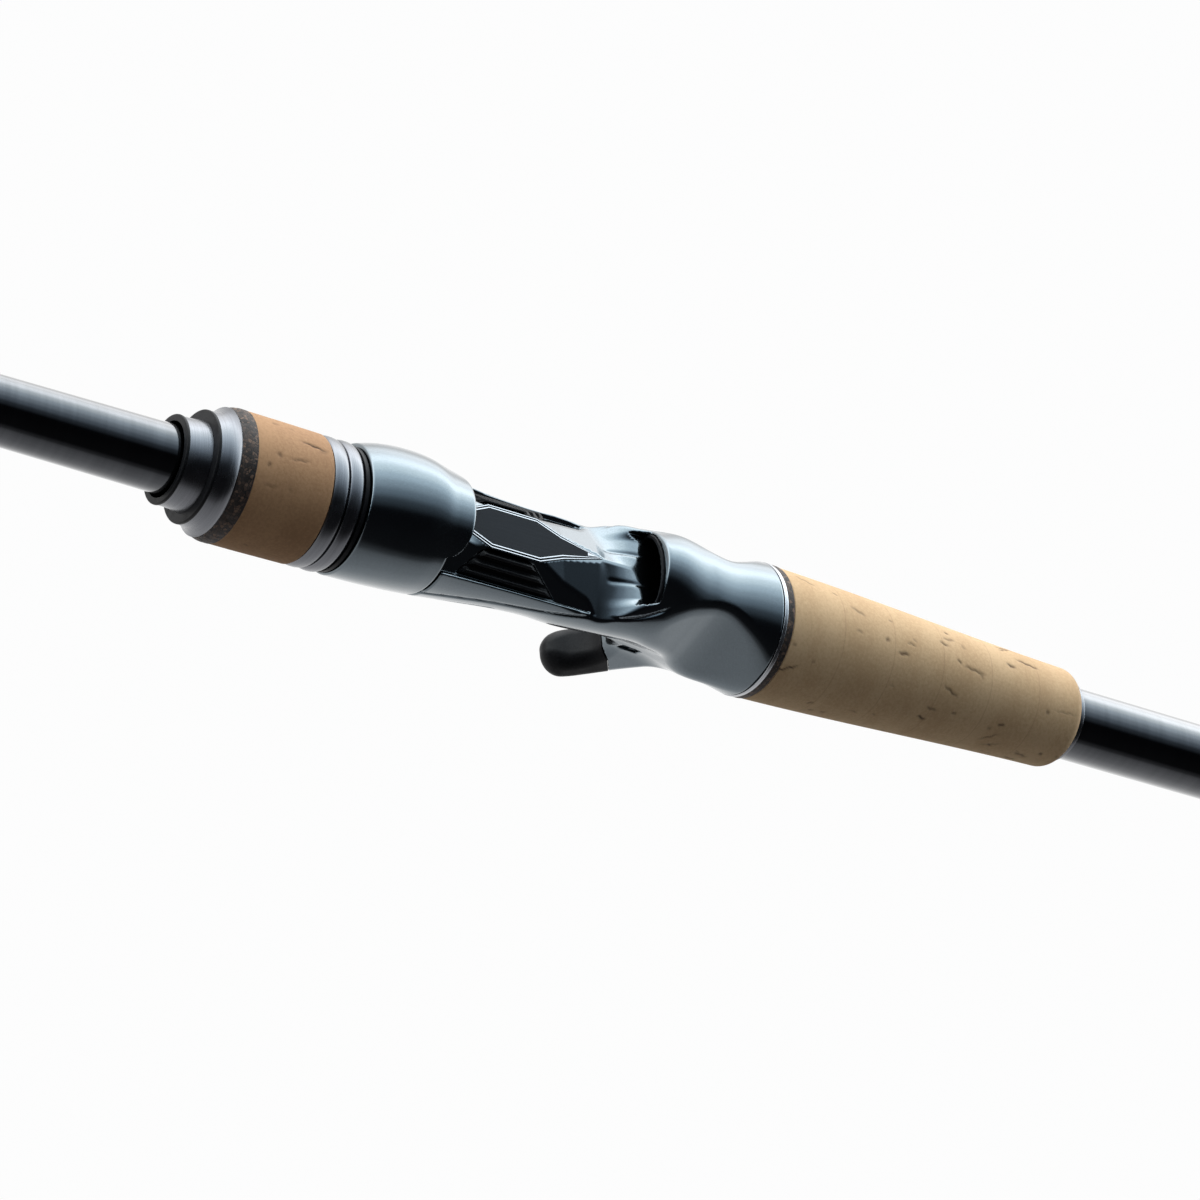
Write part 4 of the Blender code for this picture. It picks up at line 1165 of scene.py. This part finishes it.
# %% Cork tools
def cork(name, front, back, outer, finish, body, stands_for, slot_name, dents, seed, inner=8.25):
    """A grip between two places; outer gives its radius along x, and dents is how many hollows it has."""
    rng = np.random.default_rng(seed)
    sides, rows = 260, max(int((back - front) / 0.32), 8)
    xs = np.concatenate([[front], np.linspace(front, back, rows), [back]])
    angles = np.linspace(0, math.tau, sides, endpoint=False)
    x, a = np.meshgrid(xs, angles, indexing="ij")
    r = np.broadcast_to(np.array([outer(v) for v in xs])[:, None], x.shape).copy()
    pit = np.zeros_like(x)
    for _ in range(dents):
        size = rng.random() ** 3
        where_x, where_a = rng.uniform(front + 0.5, back - 0.5), rng.uniform(0, math.tau)
        long, wide, tilt = 0.5 + 2.6 * size, 0.16 + 0.3 * rng.random() * (1 - 0.5 * size), rng.normal(0, 0.35)
        du, dv = x - where_x, ((a - where_a + math.pi) % math.tau - math.pi) * r
        u, v = du * math.cos(tilt) + dv * math.sin(tilt), dv * math.cos(tilt) - du * math.sin(tilt)
        v = v + 0.12 * np.sin(u * 3 + where_a * 9)
        pit = np.maximum(pit, np.exp(-((u / long) ** 4) - (v / wide) ** 2) * rng.uniform(0.25, 1.0))
    r = r - 0.16 * pit
    r[0], r[-1] = inner, inner
    points = np.stack([x, r * np.sin(a), r * np.cos(a)], -1)
    rings = [points[k] for k in range(len(xs))]
    made = piece(name, *closed_skin([ring[::-1] for ring in rings]), finish, body,
                 stands_for, slot_name, smooth=35)
    pit[0], pit[-1] = 0, 0
    layer = made.data.attributes.new("pit", "FLOAT", "POINT")
    layer.data.foreach_set("value", pit[:, ::-1].ravel().astype(np.float32))
    print(f"{name}: {dents} dents, {len(made.data.vertices)} points")
    return made


def soft_end(x, end, radius, size):
    """Radius of a grip whose end is rounded by size."""
    away = abs(end - x)
    return radius - size * (1 - math.sqrt(max(0.0, 1 - (1 - min(away / size, 1)) ** 2)))


# %% Fore grip and burl band
def fore_radius(x):
    share = (x + 23.4) / 16.4
    return min(13.16 - 0.2 * share, soft_end(x, -7.05, 13.1, 0.35))


cork("fore_grip_cork", -23.62, -7.05, fore_radius, fore_cork, "nut", ("fore_grip",), "cork", 22, 11,
     inner=CORK_IN)


def burl_radius(x):
    return 13.16 - 0.62 * float(eased(-x, 24.6, 27.2)) ** 1.3


cork("fore_burl_band", -26.72, -23.62, burl_radius, burl_cork, "nut",
     ("fore_burl_ring",), "burl_cork", 40, 5, inner=CORK_IN)

# %% [markdown]
# ### Rear grip
#
# Six discs make the rear grip. It swells a little behind the seat, tapers and ends in a rounded shoulder
# with a thin bright ring on the pipe. A fine bright line and a dark band part it from the seat.

# %% Rear grip
GRIP_START, GRIP_END = 99.75, 178.8
CORK_R = NUT_R + 1.15


def rear_radius(x):
    share = (x - 100.0) / 79.2
    radius = CORK_R - 0.05 - 3.15 * float(eased(share, -0.15, 1.15)) - 0.15 * share
    return min(soft_end(x, GRIP_END, radius, 2.6), soft_end(x, GRIP_START, radius, 0.3))


rear_discs = tuple(f"rear_cork_disc_{k}" for k in range(1, 7))
cork("rear_grip_cork", GRIP_START, GRIP_END, rear_radius, rear_cork, "rod", rear_discs, "cork", 90, 23)

line = rounded([(97.3, BORE_R), (97.3, 14.15), (98.15, 14.15), (98.15, BORE_R)], 0.18)
turned("seat_end_ring_bright", line, rim_metal, "rod", ("seat_end_ring",), "satin_metal")
band = rounded([(98.15, BORE_R), (98.15, 14.08), (99.75, 14.08), (99.75, BORE_R)], 0.12)
turned("rear_check_band", band, burl_cork, "rod", ("rear_check_ring",), "burl_cork")
tail = rounded([(178.7, 8.1), (178.7, 9.2), (179.9, 9.05), (179.9, 8.1)], 0.2)
turned("rear_tail_ring_satin", tail, satin_metal, "rod", ("rear_tail_ring",), "satin_metal")

# %% [markdown]
# ## Blank and pipe
#
# The blank is one tapered tube from the tip to the butt. Its radius falls fast near the grip and slowly
# near the tip. A plain carbon pipe covers it behind the seat.

# %% Blank and pipe
TIP_X, TAPER_START, TIP_R, TAPER_POWER = -1450.0, -32.0, 0.95, 2.1


def blank_radius(x):
    along = np.clip((x - TIP_X) / (TAPER_START - TIP_X), 0, 1)
    return TIP_R + (BLANK_R - TIP_R) * along**TAPER_POWER


PIPE_END = 351.7
xs = np.concatenate([np.linspace(TIP_X, TAPER_START, 90), [PIPE_END]])
outer = [(x, float(blank_radius(x))) for x in xs]
inner = [(x, r - 0.45 - 0.65 * (r - TIP_R) / (BLANK_R - TIP_R)) for x, r in outer]
turned("rod_blank_lacquered", outer + inner[::-1], blank_carbon, "rod", ("rod_blank",),
       "blank_carbon", sides=96)
pipe = rounded([(99.1, BORE_R), (99.1, 7.95), (PIPE_END, 7.95), (PIPE_END, BORE_R)], 0)
turned("grip_pipe_lacquered", pipe, blank_carbon, "rod", ("grip_pipe",), "blank_carbon", sides=128)
print("blank:", round(2 * TIP_R, 2), "to", round(2 * BLANK_R, 2), "mm thick")

# %% [markdown]
# ### Butt
#
# A short second cork and a rubber cap close the rod behind the pipe, so it can be braced against the
# forearm. The cap's end is slightly domed and its rim is thick.

# %% Butt
GRIP_R = 12.45
low, high = cad("butt_cork_disc_3")[0][0], cad("butt_cork_disc_1")[1][0]
BUTT_FRONT = float(low) - 0.1


def butt_radius(x):
    return soft_end(x, BUTT_FRONT, GRIP_R - 2.2 * float(eased(-x, -316, -301)), 1.2)


cork("butt_grip_cork", BUTT_FRONT, float(high) + 0.15, butt_radius, rear_cork, "rod",
     ("butt_cork_disc_1", "butt_cork_disc_2", "butt_cork_disc_3"), "cork", 50, 7)
burl_low, burl_high = (float(cad("butt_burl_ring")[k][0]) for k in (0, 1))
cork("butt_burl_band", burl_low - 0.15, burl_high + 0.15, lambda x: GRIP_R, burl_cork, "rod",
     ("butt_burl_ring",), "burl_cork", 30, 9)
trim_low, trim_high = (float(cad("butt_trim_ring")[k][0]) for k in (0, 1))
trim = rounded([(trim_low, 8.1), (trim_low, 9.8), (trim_high + 0.2, 9.95), (trim_high + 0.2, 8.1)], 0.3)
turned("butt_trim_ring_satin", trim, satin_metal, "rod", ("butt_trim_ring",), "satin_metal")
cap_low, cap_high = (float(cad("butt_cap")[k][0]) for k in (0, 1))
cap = rounded(
    [(cap_low, 8.2), (cap_low, GRIP_R), (cap_low + 5, GRIP_R - 0.35), (cap_high - 5, GRIP_R + 0.35),
     (cap_high - 1.4, GRIP_R - 0.6), (cap_high, GRIP_R - 3.4), (cap_high, 0.01), (PIPE_END + 0.3, 0.01),
     (PIPE_END + 0.3, 8.2)],
    (0, 0.3, 3, 2, 2, 1, 0, 0, 0),
)
turned("butt_cap_rubber", cap, soft_black, "rod", ("butt_cap",), "soft_black")

# %% [markdown]
# ## Line guides
#
# Each guide holds a ceramic ring in a bent metal frame, and the frame's foot is tied under thread. The
# places and sizes come from the CAD rings. The ring and its holder are turned about a line above the
# rod; the leg is a flat strip that narrows as it runs down to the foot.

# %% Guide tools
def strip(path, widths, thicknesses):
    """Rings of a rounded strip that follows a path of (x, z) points."""
    p = np.array(path, float)
    way = np.gradient(p, axis=0)
    way /= np.linalg.norm(way, axis=1, keepdims=True)
    rings = []
    corners = np.linspace(0, math.tau, 20, endpoint=False)
    flat = (
        np.sign(np.cos(corners)) * np.abs(np.cos(corners)) ** 0.45,
        np.sign(np.sin(corners)) * np.abs(np.sin(corners)) ** 0.6,
    )
    for (x, z), (dx, dz), w, t in zip(p, way, widths, thicknesses):
        rings.append([(x - dz * t / 2 * v, w / 2 * u, z + dx * t / 2 * v) for u, v in zip(*flat)])
    return rings


def bent(points, count=26):
    """A smooth open line through a few (x, z) points."""
    p = np.array(points, float)
    t = np.linspace(0, 1, len(p))
    fine = np.linspace(0, 1, count)
    along, upward = (np.column_stack([t, p[:, k]]) for k in (0, 1))
    return [(line_through(u, along), line_through(u, upward)) for u in fine]


def merged(name, parts, finish, stands_for, slot_name, smooth=40):
    """Several closed skins as one piece."""
    points, faces, start = [], [], 0
    for p, f in parts:
        points.append(np.asarray(p, float))
        faces += [tuple(i + start for i in face) for face in f]
        start += len(p)
    return piece(name, np.concatenate(points), faces, finish, "rod", stands_for, slot_name, smooth)


def hoop(x, z, inner, outer, half, corner, sides=64):
    """Points and faces of a round-edged ring that faces along the rod."""
    profile = rounded([(-half, inner), (half, inner), (half, outer), (-half, outer)], corner, 4)
    angles = np.linspace(0, math.tau, sides, endpoint=False)
    rings = [[(x + u, r * math.sin(a), z + r * math.cos(a)) for u, r in profile] for a in angles]
    return closed_skin(rings)


def thread_turns(name, front, back, bed, top, foot_half, stands_for):
    """A thread wrap: round the blank, with a saddle over the foot and tapering ends."""
    angles = np.linspace(-math.pi, math.pi, 96, endpoint=False)
    wide, thick = foot_half + 0.55, 0.5
    with np.errstate(divide="ignore", invalid="ignore"):
        over = np.where(
            np.abs(np.tan(angles)) * top < wide, top / np.cos(angles), wide / np.abs(np.sin(angles)),
        )
    over = np.where(np.abs(angles) < 1.4, over, 0)
    body = np.maximum(bed + thick, over)
    for _ in range(3):
        body = (np.roll(body, 1) + body + np.roll(body, -1)) / 3
    rings = []
    shares = [np.linspace(0, 0.08, 6), np.linspace(0.12, 0.88, 24), np.linspace(0.92, 1, 6)]
    for share in np.concatenate(shares):
        swell = math.sqrt(max(0.0, 1 - (1 - min(share, 1 - share, 0.08) / 0.08) ** 2))
        r = bed + (body - bed) * (0.25 + 0.75 * swell)
        x = front + (back - front) * share
        rings.append(np.stack([np.full_like(r, x), r * np.sin(angles), r * np.cos(angles)], 1))
    under = bed - 0.35
    ends = [
        np.stack([np.full_like(angles, x), under * np.sin(angles), under * np.cos(angles)], 1)
        for x in (back, front)
    ]
    piece(name, *closed_skin([ring[::-1] for ring in rings + ends]), thread_wrap, "rod",
          (stands_for,), "thread_wrap", smooth=40)


# %% Guides
for k in range(1, 8):
    (ring_low, ring_high), (frame_low, frame_high) = cad(f"guide_{k}_ring"), cad(f"guide_{k}_frame")
    wrap_low, wrap_high = cad(f"guide_{k}_wrap")
    x, z = (ring_low + ring_high)[[0, 2]] / 2
    ring_r = (ring_high - ring_low)[2] / 2
    ring_part = hoop(x, z, ring_r - 1.0, ring_r + 0.05, 0.9, 0.55)
    merged(f"guide_{k}_ceramic", [ring_part], ring_ceramic, (f"guide_{k}_ring",), "ring_ceramic")
    holder_r = (frame_high[2] - z) - 0.9
    foot_x, bed = frame_high[0], float(blank_radius(frame_high[0]))
    low = z - holder_r - 0.45
    path = bent([
        (x, low), (x + 1.6, low - 0.36 * (low - bed)), (x + 4.0, bed + 0.75), (x + 7.5, bed + 0.42),
        (foot_x, bed + 0.22),
    ])
    share = np.linspace(0, 1, len(path))
    leg = skinned(strip(path, 3.0 - 1.3 * eased(share, 0.1, 0.7), 0.95 - 0.65 * eased(share, 0.3, 1.0)))
    holder = hoop(x, z, holder_r - 0.28, holder_r + 0.88, 0.7, 0.5)
    merged(f"guide_{k}_frame_bent", [holder, leg], guide_metal, (f"guide_{k}_frame",), "guide_metal")
    thread_turns(f"guide_{k}_thread", wrap_low[0], wrap_high[0], bed + 0.02, wrap_high[2] - 0.1, 1.0,
                 f"guide_{k}_wrap")
print("guides at", [round(float(cad(f'guide_{k}_ring')[0][0])) for k in range(1, 8)])

# %% [markdown]
# ### Tip-top
#
# The last ring sits on a short socket glued over the very tip.

# %% Tip-top
(ring_low, ring_high), (frame_low, frame_high) = cad("tip_top_ring"), cad("tip_top_frame")
x, z = (ring_low + ring_high)[[0, 2]] / 2
ring_r = (ring_high - ring_low)[2] / 2
merged("tip_top_ceramic", [hoop(x, z, ring_r - 1.0, ring_r + 0.05, 0.9, 0.5)], ring_ceramic,
       ("tip_top_ring",), "ring_ceramic")
holder_r = frame_high[2] - z - 0.9
socket_r = 1.75
profile = rounded(
    [
        (TIP_X - 1.2, 0.02), (TIP_X - 1.2, socket_r), (TIP_X + 9, socket_r),
        (TIP_X + 9, 0.9), (TIP_X - 0.2, 0.9), (TIP_X - 0.2, 0.02),
    ],
    (0, 0.8, 0.3, 0, 0, 0),
)
angles = np.linspace(0, math.tau, 48, endpoint=False)
socket = closed_skin([[(u, r * math.sin(a), r * math.cos(a)) for u, r in profile] for a in angles])
path = bent([
    (x, z - holder_r - 0.4), (x + 0.7, socket_r + 0.3),
    (TIP_X + 0.8, socket_r - 0.1), (TIP_X + 5, socket_r - 0.15),
])
bridge = skinned(strip(path, [1.9] * len(path), np.linspace(0.9, 0.4, len(path))))
holder = hoop(x, z, holder_r - 0.28, holder_r + 0.88, 0.7, 0.5)
merged("tip_top_frame_bent", [holder, socket, bridge], guide_metal, ("tip_top_frame",), "guide_metal")

# %% [markdown]
# ## Studio
#
# The rod hangs high over a white floor, so its shadow falls well away from it and stays soft. The world is
# a gradient that depends only on the angle round the rod: white straight below, greyer up to the near
# horizon, dark above it, and bright again overhead and behind, where a large soft lamp would stand. Glossy
# lacquer mirrors it as a bright band on top, a black one in the middle and a grey one below. The gradient
# is a node group, because the floor needs the same light. The camera alone sees plain white.

# %% World
world = bpy.data.worlds.new("studio")
bpy.context.scene.world = world
world.use_nodes = True
tree = world.node_tree
for old in list(tree.nodes):
    tree.nodes.remove(old)
studio_gradient, start, end = new_group("studio_gradient", (), (("Light", "NodeSocketColor"),))
studio_gradient.interface.new_socket(name="Way", in_out="INPUT", socket_type="NodeSocketVector")
way = node(studio_gradient, "ShaderNodeSeparateXYZ", Vector=start.outputs["Way"])
near = maths(studio_gradient, "MULTIPLY", way.outputs["Y"], -1.0)
around = maths(studio_gradient, "DEGREES", maths(studio_gradient, "ARCTAN2", way.outputs["Z"], near))
around = maths(studio_gradient, "MODULO", maths(studio_gradient, "ADD", around, 450.0), 360.0)
ramp = studio_gradient.nodes.new("ShaderNodeValToRGB")
ramp.color_ramp.interpolation = "EASE"
STUDIO_PEAK = 5.0
STUDIO = (
    (-90, (1.0, 1.0, 1.0)), (-77, (0.95, 0.95, 0.95)), (-53, (0.78, 0.78, 0.79)), (-30, (0.62, 0.62, 0.63)),
    (-14, (0.5, 0.5, 0.51)), (-6, (0.4, 0.4, 0.41)), (4, (0.12, 0.12, 0.125)), (16, (0.02, 0.02, 0.022)),
    (70, (0.01, 0.01, 0.012)), (84, (0.14, 0.17, 0.2)), (98, (0.55, 0.67, 0.78)), (112, (1.15, 1.35, 1.5)),
    (127, (2.0, 2.3, 2.5)), (142, (3.1, 3.4, 3.5)), (158, (4.7, 4.9, 5.0)), (178, (3.0, 3.05, 3.1)),
    (200, (1.2, 1.2, 1.2)), (269, (1.0, 1.0, 1.0)),
)
for k, (angle, colour) in enumerate(STUDIO):
    place = (angle + 90) / 360
    stop = ramp.color_ramp.elements[0] if k == 0 else (
        ramp.color_ramp.elements[-1] if k == len(STUDIO) - 1 else ramp.color_ramp.elements.new(place)
    )
    stop.position = place
    stop.color = (*(c / STUDIO_PEAK for c in colour), 1.0)
studio_gradient.links.new(maths(studio_gradient, "DIVIDE", around, 360.0), ramp.inputs[0])
studio_gradient.links.new(ramp.outputs[0], end.inputs["Light"])
gradient = tree.nodes.new("ShaderNodeGroup")
gradient.node_tree = studio_gradient
tree.links.new(node(tree, "ShaderNodeTexCoord").outputs["Generated"], gradient.inputs["Way"])
studio = node(tree, "ShaderNodeBackground", Color=gradient.outputs[0], Strength=STUDIO_PEAK)
plain = node(tree, "ShaderNodeBackground", Color=(1.0, 1.0, 1.0, 1.0), Strength=1.0)
seen = node(tree, "ShaderNodeLightPath").outputs["Is Camera Ray"]
choice = tree.nodes.new("ShaderNodeMixShader")
for socket, value in zip(choice.inputs, (seen, studio.outputs[0], plain.outputs[0])):
    tree.links.new(value, socket)
output = tree.nodes.new("ShaderNodeOutputWorld")
tree.links.new(choice.outputs[0], output.inputs["Surface"])
print("studio gradient has", len(STUDIO), "stops")

# %% [markdown]
# ### Floor and front lamp
#
# The floor is grey paint under a share of plain white light for camera and transmission rays, so that it
# reads as white everywhere and keeps a trace of the rod's shadow. Glossy rays find the studio gradient on
# it instead, as if the floor weren't there. One wide, weak lamp above the camera fills the front; it is
# hidden from glossy rays, so it leaves no square highlight.

# %% Floor
FLOOR_Z, FLOOR_HALF, GLOW_SHARE = -0.62, 6.0, 0.97
floor_paint, tree, shader = new_finish("floor_paint", (0.3, 0.3, 0.3), 0.9)
light_path = node(tree, "ShaderNodeLightPath")
gradient = tree.nodes.new("ShaderNodeGroup")
gradient.node_tree = studio_gradient
tree.links.new(node(tree, "ShaderNodeNewGeometry").outputs["Position"], gradient.inputs["Way"])
mirrored = node(tree, "ShaderNodeEmission", Color=gradient.outputs[0], Strength=STUDIO_PEAK)
glow = node(tree, "ShaderNodeEmission", Color=(1.0, 1.0, 1.0, 1.0), Strength=1.0)
seen_glow = tree.nodes.new("ShaderNodeMixShader")
tree.links.new(light_path.outputs["Is Glossy Ray"], seen_glow.inputs[0])
tree.links.new(glow.outputs[0], seen_glow.inputs[1])
tree.links.new(mirrored.outputs[0], seen_glow.inputs[2])
direct = maths(tree, "MAXIMUM", light_path.outputs["Is Camera Ray"], light_path.outputs["Is Glossy Ray"])
direct = maths(tree, "MAXIMUM", direct, light_path.outputs["Is Transmission Ray"])
blend = tree.nodes.new("ShaderNodeMixShader")
tree.links.new(maths(tree, "MULTIPLY", direct, GLOW_SHARE), blend.inputs[0])
tree.links.new(shader.outputs[0], blend.inputs[1])
tree.links.new(seen_glow.outputs[0], blend.inputs[2])
tree.links.new(blend.outputs[0], tree.nodes["Material Output"].inputs["Surface"])
floor_mesh = bpy.data.meshes.new("floor")
signs = ((-1, -1), (1, -1), (1, 1), (-1, 1))
floor_corners = [(FLOOR_HALF * a, FLOOR_HALF * b, FLOOR_Z) for a, b in signs]
floor_mesh.from_pydata(floor_corners, [], [(0, 1, 2, 3)])
floor_mesh.materials.append(floor_paint)
floor = bpy.data.objects.new("floor", floor_mesh)
bpy.context.scene.collection.objects.link(floor)

# %% Front lamp
FRONT_POWER, FRONT_SIZE = 2.0, 2.2
lamp_data = bpy.data.lights.new("front_softbox", "AREA")
lamp_data.energy, lamp_data.size = FRONT_POWER, FRONT_SIZE
lamp = bpy.data.objects.new("front_softbox", lamp_data)
bpy.context.scene.collection.objects.link(lamp)
lamp_place = Vector((-0.35, -1.15, 2.0))
lamp.matrix_world = Matrix.Translation(lamp_place) @ lamp_place.to_track_quat("Z", "Y").to_matrix().to_4x4()
lamp.visible_glossy = False
lamp.visible_camera = False

# %% [markdown]
# ## Camera
#
# The view comes from the front left and above, with the camera rolled so that the rod runs down to the
# right. A long lens keeps the discs of the handle nearly the same size.

# %% Camera
TURN, RISE, ROLL = math.radians(30), math.radians(51.5), math.radians(16.2)
toward = Vector((-math.sin(TURN), -math.cos(TURN) * math.cos(RISE), math.cos(TURN) * math.sin(RISE)))
level_up = Vector((0, math.sin(RISE), math.cos(RISE)))
level_right = Vector((math.cos(TURN), -math.sin(TURN) * math.cos(RISE), math.sin(TURN) * math.sin(RISE)))
right = level_right * math.cos(ROLL) + level_up * math.sin(ROLL)
up = -level_right * math.sin(ROLL) + level_up * math.cos(ROLL)
STAND_OFF = 0.8
aim = Vector((0.0626, 0, 0)) - level_up * 0.00264
lens = bpy.data.cameras.new("camera")
lens.lens, lens.sensor_width, lens.clip_start, lens.clip_end = 120, 36, 0.01, 50
camera = bpy.data.objects.new("camera", lens)
bpy.context.scene.collection.objects.link(camera)
facing = Matrix((right, up, toward)).transposed().to_4x4()
camera.matrix_world = Matrix.Translation(aim + toward * STAND_OFF) @ facing
bpy.context.scene.camera = camera
bpy.context.scene.view_settings.view_transform = "Standard"
